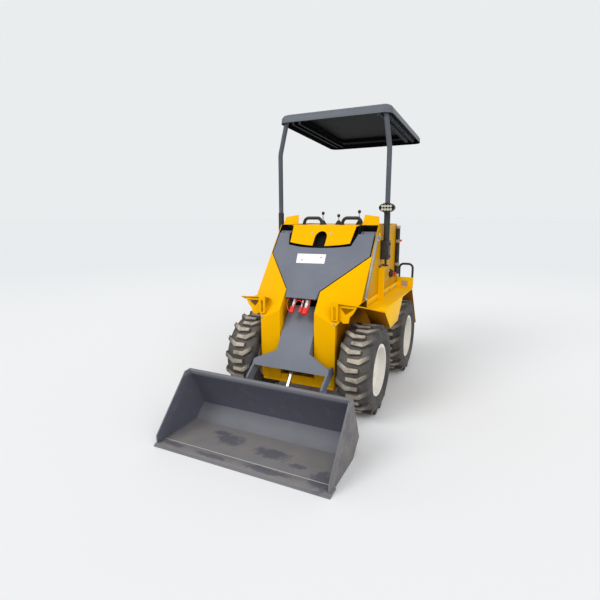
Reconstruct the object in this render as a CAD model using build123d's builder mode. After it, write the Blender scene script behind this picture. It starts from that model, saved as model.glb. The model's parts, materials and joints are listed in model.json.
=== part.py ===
from build123d import *
from math import asin, cos, degrees, hypot, pi, radians, sqrt, tan
import os

# Compact wheeled skid steer loader that its driver stands behind, in millimetres.
# +Z is up, the bucket is towards -Y, and +X is the machine's own left.
# The origin lies on the ground under the middle of the machine's box.
# Pieces that come in a left and right pair are made on the left and mirrored.

# Wheels: lug tips, section width, rim and where the four of them stand
tyre_radius = 290
tyre_width = 216
carcass_radius = 268
shoulder_radius = 215
shoulder_width = 12
carcass_sides = 32
lug_count = 16
lug_root = 250
# One lug of the outer row, laid flat: out from the tyre's middle, and round it
lug_outline = ((-38, -29), (38, -37), (96, 5), (96, 37), (30, -3), (-38, -3))
bead_radius = 152.4
rim_flange_radius = 168
rim_width = 178
rim_sheet = 5
rim_disc_offset = 42
rim_drop_radius = 135
valve_radius = 9
wheel_centre_x = 399
front_axle_y = -272
rear_axle_y = 590
hub_radius = 52
hub_length = 60
shaft_radius = 17.5
motor_radius = 48
motor_end_x = 322
running_gap = 0.05
seat_gap = 0.3

# Chassis: two long side plates with everything hung on them
side_plate_x = 254
front_panel_x = 262
plate = 8
chassis_front_y = -468
chassis_rear_y = 880
chassis_floor_z = 180
chassis_deck_z = 722
crossmember_z = 238

# The sloping front: a flat middle and two wings folded back, all leaning the same way
face_y = -375
face_z = 790
face_slope = 0.79
face_fold = 0.396
face_half = 115
face_top_z = 1137
wing_vertex_x = 362
wing_vertex_z = 997
face_sheet = 10
panel_sheet = 6
notch_low = (232, 1061)
notch_top_x = 259.5
notch_middle_z = 1047
tongue_half = 106
tongue_z = 743.5
panel_gap = 8
slot_half = 121

# Fenders and the pods between the wheels; a fender's sheet falls backwards and outwards
fender_front_y = -448
fender_corner = (262, -430, 735)
fender_fall_back = 0.303
fender_fall_out = 0.046
fender_outer_x = 425
fender_sheet = 6
ear_x = 255
ear_y = -466
ear_width = 44
ear_thick = 12
ear_low_z = 632
pod_x = 505
pod_front_y = -229
pod_deck_z = 676
pod_rear_y = 669
pod_sheet = 5
pod_plate_z = 762
pod_points = ((-229, 663), (-62, 516), (153, 520), (292, 667), (654, 671), (669, 671))
support_front_y = 60
support_out_x = 418
support_top_z = 904
guard_top_z = 655
guard_tyre_gap = 39.4
guard_run = 250
guard_fall = 1.3665
guard_sheet = 6
guard_out_x = 490

# Tower: outer side plates and the top over the arm's pivot
tower_x = 376
tower_top_z = 1195
tower_rear_y = 584

# Lift arm
pivot_y = 45
pivot_z = 1120
pivot_pin_radius = 17.5
pivot_boss_radius = 32
column_half = 113
column_top_z = 676
column_knee = (-461, 520)
column_slope_high = 0.838
column_slope_low = 0.637
neck_z = 418
flare_half = 262
flare_tip_z = 352
flare_low_z = 319
arm_plate = 8
post_plate = 14

# Bucket hinge and the pieces that tilt it
hinge_y = -640
hinge_z = 90
hinge_boss_radius = 30
hinge_pin_radius = 14
tilt_arm = 80
tilt_base_y = -270
tilt_base_z = 620
tilt_barrel_radius = 30
tilt_rod_radius = 14
tilt_rod_length = 420
tilt_gland = 170
base_pin_radius = 14
tilt_eye_radius = 24
tilt_eye_half = 20
tilt_ear = 12
hinge_ear = 14
hinge_ear_x = 245

# Couplers that hang from a bracket behind the arm's face, with their caps
coupler_plate_z = 765
coupler_plate_deep = 60
coupler_deep = 22
coupler_table = (
    # across, steel radius, cap radius, steel length, cap length
    (-48, 12, 16, 78, 42),
    (11, 8, 12, 74, 38),
    (44, 16, 20, 80, 44),
)

# Lift cylinders, one in each slot beside the chassis
lift_x = 312
lift_base_y = 300
lift_base_z = 600
lift_arm_y = -60
lift_arm_z = 960
lift_barrel_radius = 27
lift_rod_radius = 14
lift_eye_radius = 24
lift_eye_half = 18
lift_gland = 110
lift_rod_length = 390

# Bucket
bucket_half = 522
bucket_plate = 8
bucket_front_y = -1217
bucket_heel_y = -864
bucket_bend = (-765, 82)
bucket_top = (-886, 353)
attach_half = 290
attach_height = 262
attach_sheet = 12
bucket_side_front = (-1200, 60)
bucket_side_top = (-939, 350)
cutting_edge_half = 530
cutting_edge_width = 84
cutting_edge_thick = 14
lip_height = 34
lip_thick = 10
latch_x = 222

# Operator's platform at the rear
platform_front_y = 592
platform_rear_y = 1217
platform_half = 262
platform_z = 262
platform_sheet = 6
platform_lip = 40
platform_rail_x = 180

# Canopy on its two posts
post_x = 411
post_y = 116
post_radius = 17
post_low_z = 962
post_bend_z = 1703
post_top = (368, 147, 1949)
sleeve_radius = 21
sleeve_top_z = 1280
clamp_low_z = 960
clamp_high_z = 1090
roof_front_y = 104
roof_rear_y = 1201
roof_half = 418
roof_front_z = 1926
roof_rear_z = 1876
roof_sheet = 6
roof_corner = 60
roof_band_depth = 30
roof_dome_depth = 55
roof_rib_height = 22
# Bands of the roof's edge from below: height and lean in degrees
roof_bands = ((34, 4), (18, 35), (10, 65))
post_plate_thick = 6
lamp_z = 1312
lamp_wide = 106
lamp_high = 63
lamp_deep = 34
lamp_rim = 7

# Hood, engine, side hose and stowed prop
hood_low_z = 1078
hood_y = -108
arch_width = 90
engine_y = 370
engine_size = (380, 380, 560)
hose_y = 552
hose_low_z = 786
hose_high_z = 1177
hose_radius = 16
prop_low = (-274, 744)
prop_high = (-25, 1120)
prop_wide = (18, -11)
prop_thick = 16
hoop_top_z = 870

os.makedirs("parts", exist_ok=True)

# A rear guard leans at a fixed gap from its tyre
guard_reach = (tyre_radius + guard_tyre_gap) * hypot(guard_fall, 1)
guard_top_y = rear_axle_y + (guard_reach - guard_top_z + tyre_radius) / guard_fall


def save(piece, label):
    """Name a finished piece and write it as one STEP file."""
    piece.part.label = label
    export_step(piece.part, f"parts/{label}.step")


def front_at(x, z):
    """Height-wise lean and fold of the sloping front: its Y at a place across and up."""
    return face_y + face_slope * (z - face_z) + face_fold * max(abs(x) - face_half, 0)


def side_outline(points):
    """A closed outline drawn as (Y, Z) points, for a sketch on a plane that faces +X."""
    with BuildLine() as outline:
        Polyline(*points, close=True)
    return outline


def link_plane(start, end, x):
    """A plane at the start of a link in a vertical plane, facing along the link."""
    run = Vector(0, end[0] - start[0], end[1] - start[1])
    return Plane(origin=(x, *start), x_dir=(1, 0, 0), z_dir=run)


def distance(start, end):
    return sqrt((end[0] - start[0]) ** 2 + (end[1] - start[1]) ** 2)


# Chassis frame: side plates, belly, crossmember and bulkheads
step_z = face_z + (side_plate_x - face_half) * (wing_vertex_z - face_z) / (wing_vertex_x - face_half)
knee_z = face_z + (chassis_front_y - face_y - face_fold * (front_panel_x - face_half)) / face_slope
side_points = [
    (chassis_front_y + panel_sheet, chassis_floor_z),
    (chassis_front_y + panel_sheet, knee_z + face_fold / face_slope * (front_panel_x - side_plate_x)),
    (front_at(side_plate_x, step_z) + panel_sheet, step_z - panel_gap),
    (front_at(side_plate_x, step_z) + face_sheet + panel_gap, step_z),
    (front_at(side_plate_x, tower_top_z) + face_sheet + panel_gap, tower_top_z),
    (tower_rear_y, tower_top_z),
    (tower_rear_y, chassis_deck_z),
    (pod_rear_y, pod_deck_z),
    (guard_top_y, guard_top_z),
    (chassis_rear_y, guard_top_z - guard_fall * (chassis_rear_y - guard_top_y)),
    (chassis_rear_y, chassis_floor_z),
]
pivot_place = (pivot_y, pivot_z)
with BuildPart() as chassis_frame:
    with BuildSketch(Plane.YZ.offset(side_plate_x - plate)):
        with BuildLine():
            Polyline(*side_points, close=True)
        make_face()
        with Locations(pivot_place):
            Circle(pivot_pin_radius, mode=Mode.SUBTRACT)
    extrude(amount=plate)
    with BuildSketch(Plane.YZ.offset(side_plate_x)):
        with Locations((lift_base_y, lift_base_z)):
            Circle(base_pin_radius + 14)
    extrude(amount=lift_x - lift_barrel_radius - seat_gap - side_plate_x)
    with BuildSketch(Plane.YZ.offset(side_plate_x)):
        with Locations((lift_base_y, lift_base_z)):
            Circle(base_pin_radius)
    extrude(amount=lift_x + lift_barrel_radius + 8 - side_plate_x)
    mirror(about=Plane.YZ)
    inside = 2 * (side_plate_x - plate)
    with Locations((0, (chassis_front_y + chassis_rear_y + panel_sheet) / 2, chassis_floor_z + plate / 2)):
        Box(inside, chassis_rear_y - chassis_front_y - panel_sheet, plate)
    with Locations((0, chassis_front_y + panel_sheet + plate / 2, (chassis_floor_z + crossmember_z) / 2)):
        Box(inside, plate, crossmember_z - chassis_floor_z)
    rest_z = platform_z - platform_sheet - seat_gap
    for wall_y, wall_top in ((-120, 700), (chassis_rear_y - plate, rest_z)):
        with Locations((0, wall_y + plate / 2, (chassis_floor_z + wall_top) / 2)):
            Box(inside, plate, wall_top - chassis_floor_z)
    for rail_x in (-platform_rail_x, platform_rail_x):
        with Locations((rail_x, (chassis_rear_y + platform_rear_y) / 2 - 20, rest_z - 15)):
            Box(30, platform_rear_y - chassis_rear_y - 40, 30)
save(chassis_frame, "chassis_frame")

# Front panels: the yellow sheets each side of the arm, folded along the slope
with BuildPart() as front_panels:
    with BuildSketch(Plane.XY.offset(560)):
        low = front_at(slot_half, 560)
        far = front_at(tower_x, 560)
        with BuildLine():
            Polyline(
                (slot_half, low),
                (tower_x, far),
                (tower_x, far + panel_sheet),
                (slot_half, low + panel_sheet),
                close=True,
            )
        make_face()
    extrude(amount=700, dir=(0, face_slope, 1))
    edge_slope = (wing_vertex_z - face_z) / (wing_vertex_x - face_half)
    with BuildSketch(Plane.XZ.offset(-200)):
        with BuildLine():
            Polyline(
                (slot_half, knee_z + face_fold / face_slope * (front_panel_x - slot_half)),
                (slot_half, face_z + edge_slope * (slot_half - face_half) - panel_gap),
                (tower_x, face_z + edge_slope * (tower_x - face_half) - panel_gap),
                (tower_x, chassis_deck_z),
                (front_panel_x, knee_z),
                close=True,
            )
        make_face()
    extrude(amount=800, mode=Mode.INTERSECT)
    with BuildSketch(Plane.XZ.offset(-chassis_front_y - panel_sheet)):
        with BuildLine():
            Polyline(
                (slot_half, 203),
                (slot_half, knee_z + face_fold / face_slope * (front_panel_x - slot_half)),
                (front_panel_x, knee_z),
                (front_panel_x, 203),
                close=True,
            )
        make_face()
    extrude(amount=panel_sheet)
    with BuildSketch(Plane.YZ.offset(slot_half)):
        with BuildLine():
            Polyline(
                (chassis_front_y + panel_sheet, crossmember_z + seat_gap),
                (chassis_front_y + panel_sheet, knee_z + face_fold / face_slope * (front_panel_x - slot_half)),
                (front_at(slot_half, face_z) + panel_sheet, face_z),
                (-235, face_z),
                (-330, 500),
                (-400, crossmember_z + seat_gap),
                close=True,
            )
        make_face()
    extrude(amount=panel_sheet)
    mirror(about=Plane.YZ)
save(front_panels, "front_panels")

# Tower plates: the outer walls of the two slots that the arm's legs work in
with BuildPart() as tower_plates:
    with BuildSketch(Plane.YZ.offset(tower_x - plate)):
        edge_z = face_z + edge_slope * (tower_x - face_half) - panel_gap
        with BuildLine():
            Polyline(
                (front_at(tower_x, chassis_deck_z) + panel_sheet, chassis_deck_z),
                (front_at(tower_x, edge_z) + panel_sheet, edge_z),
                (front_at(tower_x, edge_z), edge_z + seat_gap),
                (front_at(tower_x, tower_top_z), tower_top_z),
                (tower_rear_y, tower_top_z),
                (tower_rear_y, pod_deck_z),
                (-150, pod_deck_z),
                (-150, chassis_deck_z),
                close=True,
            )
        make_face()
        with Locations(pivot_place):
            Circle(pivot_pin_radius, mode=Mode.SUBTRACT)
    extrude(amount=plate)
    with Locations(
        ((side_plate_x + tower_x - plate) / 2, tower_rear_y - plate / 2, (chassis_deck_z + tower_top_z) / 2)
    ):
        Box(tower_x - plate - side_plate_x, plate, tower_top_z - chassis_deck_z)
    mirror(about=Plane.YZ)
save(tower_plates, "tower_plates")

# Pivot pins of the lift arm, fixed in the side plates and tower plates
with BuildPart() as pivot_pins:
    with BuildSketch(Plane.YZ.offset(side_plate_x - plate - 6)):
        with Locations(pivot_place):
            Circle(pivot_pin_radius - running_gap)
    extrude(amount=tower_x - side_plate_x + plate + 12)
    mirror(about=Plane.YZ)
save(pivot_pins, "pivot_pins")

# Front fenders with their gussets, each with a slotted tie-down ear standing on the fold below it
corner_x, corner_y, corner_z = fender_corner
fender_plane = Plane(
    origin=fender_corner, x_dir=(1, 0, -fender_fall_out), z_dir=(fender_fall_out, fender_fall_back, 1)
)


def fender_at(x, y):
    """Height of the fender's upper face at a place across and along."""
    return corner_z - fender_fall_back * (y - corner_y) - fender_fall_out * (x - corner_x)


def fender_root(x):
    """Where the fender's sheet ends just before the sloping front panel."""
    drop = fender_at(x, front_at(x, chassis_deck_z)) - fender_sheet * 2
    return front_at(x, drop) - seat_gap


with BuildPart() as front_fenders:
    with BuildSketch(Plane.XY.offset(ear_low_z)):
        with BuildLine():
            root_x = ear_x - ear_width / 2
            Polyline(
                (root_x, ear_y),
                (fender_outer_x, fender_front_y),
                (pod_x, pod_front_y - seat_gap),
                (tower_x + seat_gap, pod_front_y - seat_gap),
                (tower_x + seat_gap, fender_root(tower_x)),
                (root_x, fender_root(root_x)),
                close=True,
            )
        make_face()
    extrude(amount=200)
    with BuildSketch(fender_plane.offset(-fender_sheet)):
        Rectangle(900, 900)
    extrude(amount=fender_sheet, mode=Mode.INTERSECT)
    with BuildSketch(Plane.XZ.offset(-ear_y)):
        with BuildLine():
            ear_top = fender_at(root_x, ear_y) - 1
            Polyline(
                (root_x, ear_low_z),
                (root_x, ear_top),
                (root_x + ear_width, ear_top),
                (root_x + ear_width, ear_low_z),
                close=True,
            )
        make_face()
        with Locations((ear_x, 678)):
            SlotOverall(81, 16, rotation=90, mode=Mode.SUBTRACT)
    extrude(amount=-ear_thick)
    with BuildSketch(Plane.XZ.offset(-corner_y + 10)):
        with BuildLine():
            Polyline(
                (root_x + ear_width - 2, fender_at(root_x + ear_width, corner_y) - 3),
                (392, fender_at(392, corner_y) - 3),
                (366, 679),
                (346, 659),
                (340, 622),
                (306, 617),
                (root_x + ear_width - 2, 642),
                close=True,
            )
        make_face()
        with BuildLine():
            Polyline((286, 713), (375, 713), (318, 671), close=True)
        make_face(mode=Mode.SUBTRACT)
    extrude(amount=fender_sheet)
    mirror(about=Plane.YZ)
save(front_fenders, "front_fenders")

# Side pods between the wheels, with the plate behind them and the supports under the posts' clamps
with BuildPart() as side_pods:
    pod_in_x = tower_x + seat_gap
    with BuildSketch(Plane.YZ.offset(pod_in_x)):
        with BuildLine():
            Polyline((pod_front_y, pod_deck_z), *pod_points, (pod_rear_y, pod_deck_z), close=True)
        make_face()
    extrude(amount=pod_x - pod_in_x)
    with Locations(((pod_in_x + pod_x) / 2, pod_rear_y - pod_sheet / 2, (pod_deck_z + pod_plate_z) / 2)):
        Box(pod_x - pod_in_x, pod_sheet, pod_plate_z - pod_deck_z)
    with Locations((pod_in_x + pod_sheet / 2, (pod_rear_y - 200) / 2, pod_deck_z + 24)):
        Box(pod_sheet, pod_rear_y + 200, 48)
    support_z = (pod_deck_z + support_top_z) / 2
    with Locations(((pod_in_x + support_out_x) / 2, support_front_y + pod_sheet / 2, support_z)):
        Box(support_out_x - pod_in_x, pod_sheet, support_top_z - pod_deck_z)
    with Locations((pod_in_x + pod_sheet / 2, (support_front_y + post_y) / 2, support_z)):
        Box(pod_sheet, post_y - support_front_y, support_top_z - pod_deck_z)
    mirror(about=Plane.YZ)
save(side_pods, "side_pods")

# Guards behind the rear wheels, folded down from a flange against the pods' rear plates
with BuildPart() as rear_guards:
    flange_y = pod_rear_y + seat_gap
    with BuildSketch(Plane.YZ.offset(side_plate_x + seat_gap)):
        with BuildLine():
            foot = (guard_top_y + guard_run, guard_top_z - guard_run * guard_fall)
            Polyline(
                (flange_y, pod_deck_z + 24),
                (flange_y, pod_deck_z - guard_sheet),
                (guard_top_y - 4, guard_top_z - guard_sheet),
                (foot[0] - 6, foot[1] - 4),
                foot,
                (guard_top_y, guard_top_z),
                (flange_y + guard_sheet, pod_deck_z),
                (flange_y + guard_sheet, pod_deck_z + 24),
                close=True,
            )
        make_face()
    extrude(amount=guard_out_x - side_plate_x)
    mirror(about=Plane.YZ)
save(rear_guards, "rear_guards")

# Hood: the flat plate in the arm's notch and the deck behind it
with BuildPart() as hood:
    hood_half = side_plate_x - plate - seat_gap
    with BuildSketch(Plane.YZ.offset(-hood_half)):
        with BuildLine():
            top_y = hood_y + face_slope * (tower_top_z - hood_low_z)
            low_z = hood_low_z - 25
            low_y = hood_y - face_slope * 25
            Polyline(
                (low_y, low_z),
                (top_y, tower_top_z),
                (tower_rear_y, tower_top_z),
                (tower_rear_y, tower_top_z - 5),
                (top_y + 6, tower_top_z - 5),
                (low_y + 6, low_z),
                close=True,
            )
        make_face()
    extrude(amount=2 * hood_half)
    with BuildSketch(Plane.XZ.offset(200)):
        with BuildLine():
            Polyline(
                (222, hood_low_z),
                (236, tower_top_z - 6),
                (hood_half, tower_top_z - 6),
                (hood_half, tower_top_z),
                (-hood_half, tower_top_z),
                (-hood_half, tower_top_z - 6),
                (-236, tower_top_z - 6),
                (-222, hood_low_z),
            )
            ThreePointArc((-222, hood_low_z), (0, hood_low_z - 20), (222, hood_low_z))
        make_face()
    extrude(amount=-200 - tower_rear_y, mode=Mode.INTERSECT)
    with BuildSketch(Plane.XZ.offset(200)):
        with Locations((0, hood_low_z + 12)):
            SlotOverall(130, arch_width, rotation=90)
    extrude(amount=-260, mode=Mode.SUBTRACT)
save(hood, "hood")

# Folded covers over the top of the two slots
with BuildPart() as slot_covers:
    with BuildSketch(Plane.YZ.offset(side_plate_x - plate)):
        with BuildLine():
            Polyline(
                (66, tower_top_z + seat_gap),
                (90, tower_top_z + 35),
                (104, tower_top_z + 72),
                (109, tower_top_z + 70),
                (95, tower_top_z + 31),
                (80, tower_top_z + 6),
                (180, tower_top_z + 6),
                (180, tower_top_z + seat_gap),
                close=True,
            )
        make_face()
    extrude(amount=tower_x - side_plate_x)
    with BuildSketch(Plane.XZ):
        with BuildLine():
            Polyline(
                (side_plate_x - plate + 2, tower_top_z),
                (side_plate_x + 3, tower_top_z + 72),
                (tower_x - 16, tower_top_z + 57),
                (tower_x - 8, tower_top_z),
                close=True,
            )
        make_face()
    extrude(amount=-tower_rear_y, mode=Mode.INTERSECT)
    mirror(about=Plane.YZ)
save(slot_covers, "slot_covers")

# Rear wall of the tower with its louvres, and the engine behind it as one block
louvre_half = 150
louvre_pitch = 36
louvre_count = 10
with BuildPart() as rear_cowl:
    wall_half = side_plate_x - plate - seat_gap
    wall_low = chassis_floor_z + plate + seat_gap
    wall_high = tower_top_z - 5 - seat_gap
    with Locations((0, tower_rear_y - plate / 2, (wall_low + wall_high) / 2)):
        Box(2 * wall_half, plate, wall_high - wall_low)
    for place in range(louvre_count):
        slot_z = 640 + place * louvre_pitch
        with Locations((0, tower_rear_y - plate / 2, slot_z)):
            Box(2 * louvre_half, plate, 16, mode=Mode.SUBTRACT)
        with BuildSketch(Plane.YZ.offset(-louvre_half - 4)):
            with BuildLine():
                Polyline(
                    (tower_rear_y - 2, slot_z + 14),
                    (tower_rear_y + 12, slot_z - 8),
                    (tower_rear_y + 9, slot_z - 10),
                    (tower_rear_y - 2, slot_z + 8),
                    close=True,
                )
            make_face()
        extrude(amount=2 * louvre_half + 8)
save(rear_cowl, "rear_cowl")

with BuildPart() as engine_block:
    with Locations((0, engine_y, wall_low + engine_size[2] / 2)):
        Box(*engine_size)
save(engine_block, "engine_block")

# Hand loops and control levers on the deck
loop_tube = 12
with BuildPart() as hand_loops:
    with BuildLine() as loop_line:
        FilletPolyline(
            (77, 133, tower_top_z),
            (92, 133, tower_top_z + 48),
            (212, 133, tower_top_z + 48),
            (227, 133, tower_top_z),
            radius=34,
        )
    with BuildSketch(Plane(origin=loop_line.line @ 0, z_dir=loop_line.line % 0)):
        RegularPolygon(loop_tube, 12)
    sweep(path=loop_line.line)
    split(bisect_by=Plane.XY.offset(tower_top_z + 5), keep=Keep.TOP)
    with BuildSketch(Plane.XY.offset(tower_top_z)):
        with Locations((78.6, 133), (225.4, 133)):
            RegularPolygon(loop_tube + 6, 12)
    extrude(amount=6)
    mirror(about=Plane.YZ)
save(hand_loops, "hand_loops")

lever_table = (
    # across, height of the knob's top over the deck
    (-90, 95),
    (34, 77),
    (192, 105),
)
lever_y = 180
knob = ((0, 0), (7, 0), (12, 8), (12, 17), (7, 24), (0, 25))
with BuildPart() as control_levers:
    for lever_x, lever_height in lever_table:
        with BuildSketch(Plane.XY.offset(tower_top_z)):
            with Locations((lever_x, lever_y)):
                RegularPolygon(27, 16)
        extrude(amount=30, taper=28)
        with BuildSketch(Plane.XY.offset(tower_top_z)):
            with Locations((lever_x, lever_y)):
                Circle(5)
        extrude(amount=lever_height - 10)
        knob_low = tower_top_z + lever_height - 25
        with BuildSketch(Plane(origin=(lever_x, lever_y, knob_low), x_dir=(1, 0, 0), z_dir=(0, -1, 0))):
            with BuildLine():
                Polyline(*knob, close=True)
            make_face()
        revolve(axis=Axis((lever_x, lever_y, 0), (0, 0, 1)))
save(control_levers, "control_levers")

# Operator's platform: a plate with lips, and rows of holes for grip
with BuildPart() as platform:
    narrow = side_plate_x - plate - seat_gap
    step_y = chassis_rear_y + seat_gap
    with BuildSketch(Plane.XY.offset(platform_z - platform_sheet)):
        with BuildLine():
            Polyline(
                (-narrow, platform_front_y),
                (narrow, platform_front_y),
                (narrow, step_y),
                (platform_half, step_y),
                (platform_half, platform_rear_y),
                (-platform_half, platform_rear_y),
                (-platform_half, step_y),
                (-narrow, step_y),
                close=True,
            )
        make_face()
        with Locations((0, (platform_front_y + platform_rear_y) / 2)):
            with GridLocations(80, 80, 6, 7):
                RegularPolygon(12, 6, mode=Mode.SUBTRACT)
    extrude(amount=platform_sheet)
    with Locations((0, platform_rear_y - platform_sheet / 2, platform_z - platform_lip / 2)):
        Box(2 * platform_half, platform_sheet, platform_lip)
    side_run = platform_rear_y - step_y
    for lip_x in (platform_sheet / 2 - platform_half, platform_half - platform_sheet / 2):
        with Locations((lip_x, platform_rear_y - side_run / 2, platform_z - platform_lip / 2)):
            Box(platform_sheet, side_run, platform_lip)
save(platform, "platform")

# Canopy roof: rounded over its edge, hollowed below to a band and a raised middle, with two ribs a side
roof_run = roof_rear_y - roof_front_y
roof_middle_y = (roof_front_y + roof_rear_y) / 2
roof_plane = Plane(
    origin=(0, roof_middle_y, (roof_front_z + roof_rear_z) / 2),
    x_dir=(1, 0, 0),
    z_dir=(0, roof_front_z - roof_rear_z, roof_run),
)
with BuildPart() as canopy_roof:
    level = 0
    inset = 0
    for band_height, lean in roof_bands:
        with BuildSketch(roof_plane.offset(level)):
            RectangleRounded(2 * (roof_half - inset), roof_run - 2 * inset, roof_corner - inset)
        extrude(amount=band_height, taper=lean)
        level += band_height
        inset += band_height * tan(radians(lean))
    with BuildSketch(roof_plane):
        RectangleRounded(2 * (roof_half - roof_sheet), roof_run - 2 * roof_sheet, roof_corner - roof_sheet)
    extrude(amount=roof_band_depth, taper=roof_bands[0][1], mode=Mode.SUBTRACT)
    with BuildSketch(roof_plane):
        RectangleRounded(560, 860, 60)
    extrude(amount=roof_dome_depth, taper=8, mode=Mode.SUBTRACT)
    for rib_x in (300, 352):
        for rib_side in (-1, 1):
            with BuildSketch(roof_plane.offset(roof_band_depth - roof_rib_height)):
                with Locations((rib_side * rib_x, 30)):
                    Rectangle(18, roof_run - 160)
            extrude(amount=roof_rib_height)
save(canopy_roof, "canopy_roof")

with BuildPart() as canopy_posts:
    with BuildLine() as post_line:
        FilletPolyline((post_x, post_y, post_low_z), (post_x, post_y, post_bend_z), post_top, radius=150)
    with BuildSketch(Plane.XY.offset(post_low_z)):
        with Locations((post_x, post_y)):
            Circle(post_radius)
    sweep(path=post_line.line)
    with BuildSketch(roof_plane.offset(roof_band_depth - seat_gap - post_plate_thick)):
        with Locations((post_top[0], post_top[1] + 4 - roof_middle_y)):
            RectangleRounded(50, 50, 6)
    extrude(amount=post_plate_thick)
    mirror(about=Plane.YZ)
save(canopy_posts, "canopy_posts")

# Clamps that hold the posts to the tower, the sleeves above them and the levers below them
with BuildPart() as post_clamps:
    with BuildSketch(Plane.XY.offset(clamp_low_z)):
        with Locations((post_x, post_y)):
            Rectangle(48, 56)
            Circle(post_radius + seat_gap, mode=Mode.SUBTRACT)
        with Locations(((tower_x + seat_gap + post_x - 23) / 2, post_y)):
            Rectangle(post_x - 23 - tower_x - seat_gap, 40)
    extrude(amount=clamp_high_z - clamp_low_z)
    mirror(about=Plane.YZ)
save(post_clamps, "post_clamps")

with BuildPart() as post_sleeves:
    with BuildSketch(Plane.XY.offset(clamp_high_z + seat_gap)):
        with Locations((post_x, post_y)):
            Circle(sleeve_radius)
            Circle(post_radius + seat_gap, mode=Mode.SUBTRACT)
    extrude(amount=sleeve_top_z - clamp_high_z)
    mirror(about=Plane.YZ)
save(post_sleeves, "post_sleeves")

with BuildPart() as clamp_levers:
    lever_low = support_top_z + 11
    with BuildSketch(Plane.XY.offset(lever_low)):
        with Locations((post_x, post_y)):
            Circle(18)
    extrude(amount=7)
    with BuildSketch(Plane.XY.offset(lever_low)):
        with Locations((post_x, post_y)):
            Circle(8)
    extrude(amount=post_low_z - seat_gap - lever_low)
    with Locations(Location((post_x, post_y - 22, lever_low + 4), (0, 12, 0))):
        Box(56, 12, 10)
    mirror(about=Plane.YZ)
save(clamp_levers, "clamp_levers")

# Oval work lamp on the left post, its lens set back in a rim
with BuildPart() as work_lamp:
    lamp_back = post_y - post_radius - seat_gap
    with BuildSketch(Plane.XZ.offset(-lamp_back)):
        with Locations((post_x + 6, lamp_z)):
            SlotOverall(lamp_wide, lamp_high)
    extrude(amount=lamp_deep)
    with BuildSketch(Plane.XZ.offset(lamp_deep - lamp_back)):
        with Locations((post_x + 6, lamp_z)):
            SlotOverall(lamp_wide - 2 * lamp_rim, lamp_high - 2 * lamp_rim)
    extrude(amount=-4, mode=Mode.SUBTRACT)
save(work_lamp, "work_lamp")

# Grab hoops behind the pods' rear plates
hoop_tube = 9
with BuildPart() as grab_hoops:
    hoop_in_x = tower_x + 12
    hoop_out_x = pod_x - 10
    hoop_y = pod_rear_y + seat_gap + hoop_tube
    hoop_low = pod_deck_z + 24 + seat_gap
    with BuildLine() as hoop_line:
        FilletPolyline(
            (hoop_in_x, hoop_y, hoop_low),
            (hoop_in_x, hoop_y, hoop_top_z),
            (hoop_out_x, hoop_y, hoop_top_z),
            (hoop_out_x, hoop_y, hoop_low),
            radius=34,
        )
    with BuildSketch(Plane.XY.offset(hoop_low)):
        with Locations((hoop_in_x, hoop_y)):
            RegularPolygon(hoop_tube, 12)
    sweep(path=hoop_line.line)
    mirror(about=Plane.YZ)
save(grab_hoops, "grab_hoops")

# Safety prop stowed on the tower's left side, and the bracket at its upper end
with BuildPart() as arm_prop:
    with BuildSketch(Plane.YZ.offset(tower_x + seat_gap)):
        with BuildLine():
            prop_back = (prop_high[0] + prop_wide[0], prop_high[1] + prop_wide[1])
            prop_foot = (prop_low[0] + prop_wide[0], prop_low[1] + prop_wide[1])
            Polyline(prop_low, prop_high, prop_back, prop_foot, close=True)
        make_face()
    extrude(amount=prop_thick)
    with BuildSketch(Plane.XZ.offset(8 - seat_gap)):
        with BuildLine():
            Polyline(
                (tower_x + seat_gap, prop_high[1] - 35),
                (tower_x + seat_gap, prop_high[1] + 20),
                (tower_x + 35, prop_high[1] - 8),
                close=True,
            )
        make_face()
    extrude(amount=-4)
save(arm_prop, "arm_prop")

# Upright hose on the tower's left side
with BuildPart() as side_tube:
    with BuildSketch(Plane.XY.offset(hose_low_z)):
        with Locations((tower_x + seat_gap + hose_radius, hose_y)):
            Circle(hose_radius)
    extrude(amount=hose_high_z - hose_low_z)
save(side_tube, "side_tube")

# Wheel motors with their shafts
with BuildPart() as wheel_motors:
    for axle_y in (front_axle_y, rear_axle_y):
        with BuildSketch(Plane.YZ.offset(side_plate_x + seat_gap)):
            with Locations((axle_y, tyre_radius)):
                Circle(motor_radius)
        extrude(amount=motor_end_x - side_plate_x)
        with BuildSketch(Plane.YZ.offset(motor_end_x)):
            with Locations((axle_y, tyre_radius)):
                Circle(shaft_radius)
        extrude(amount=wheel_centre_x + rim_disc_offset - motor_end_x)
    mirror(about=Plane.YZ)
save(wheel_motors, "wheel_motors")

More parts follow.
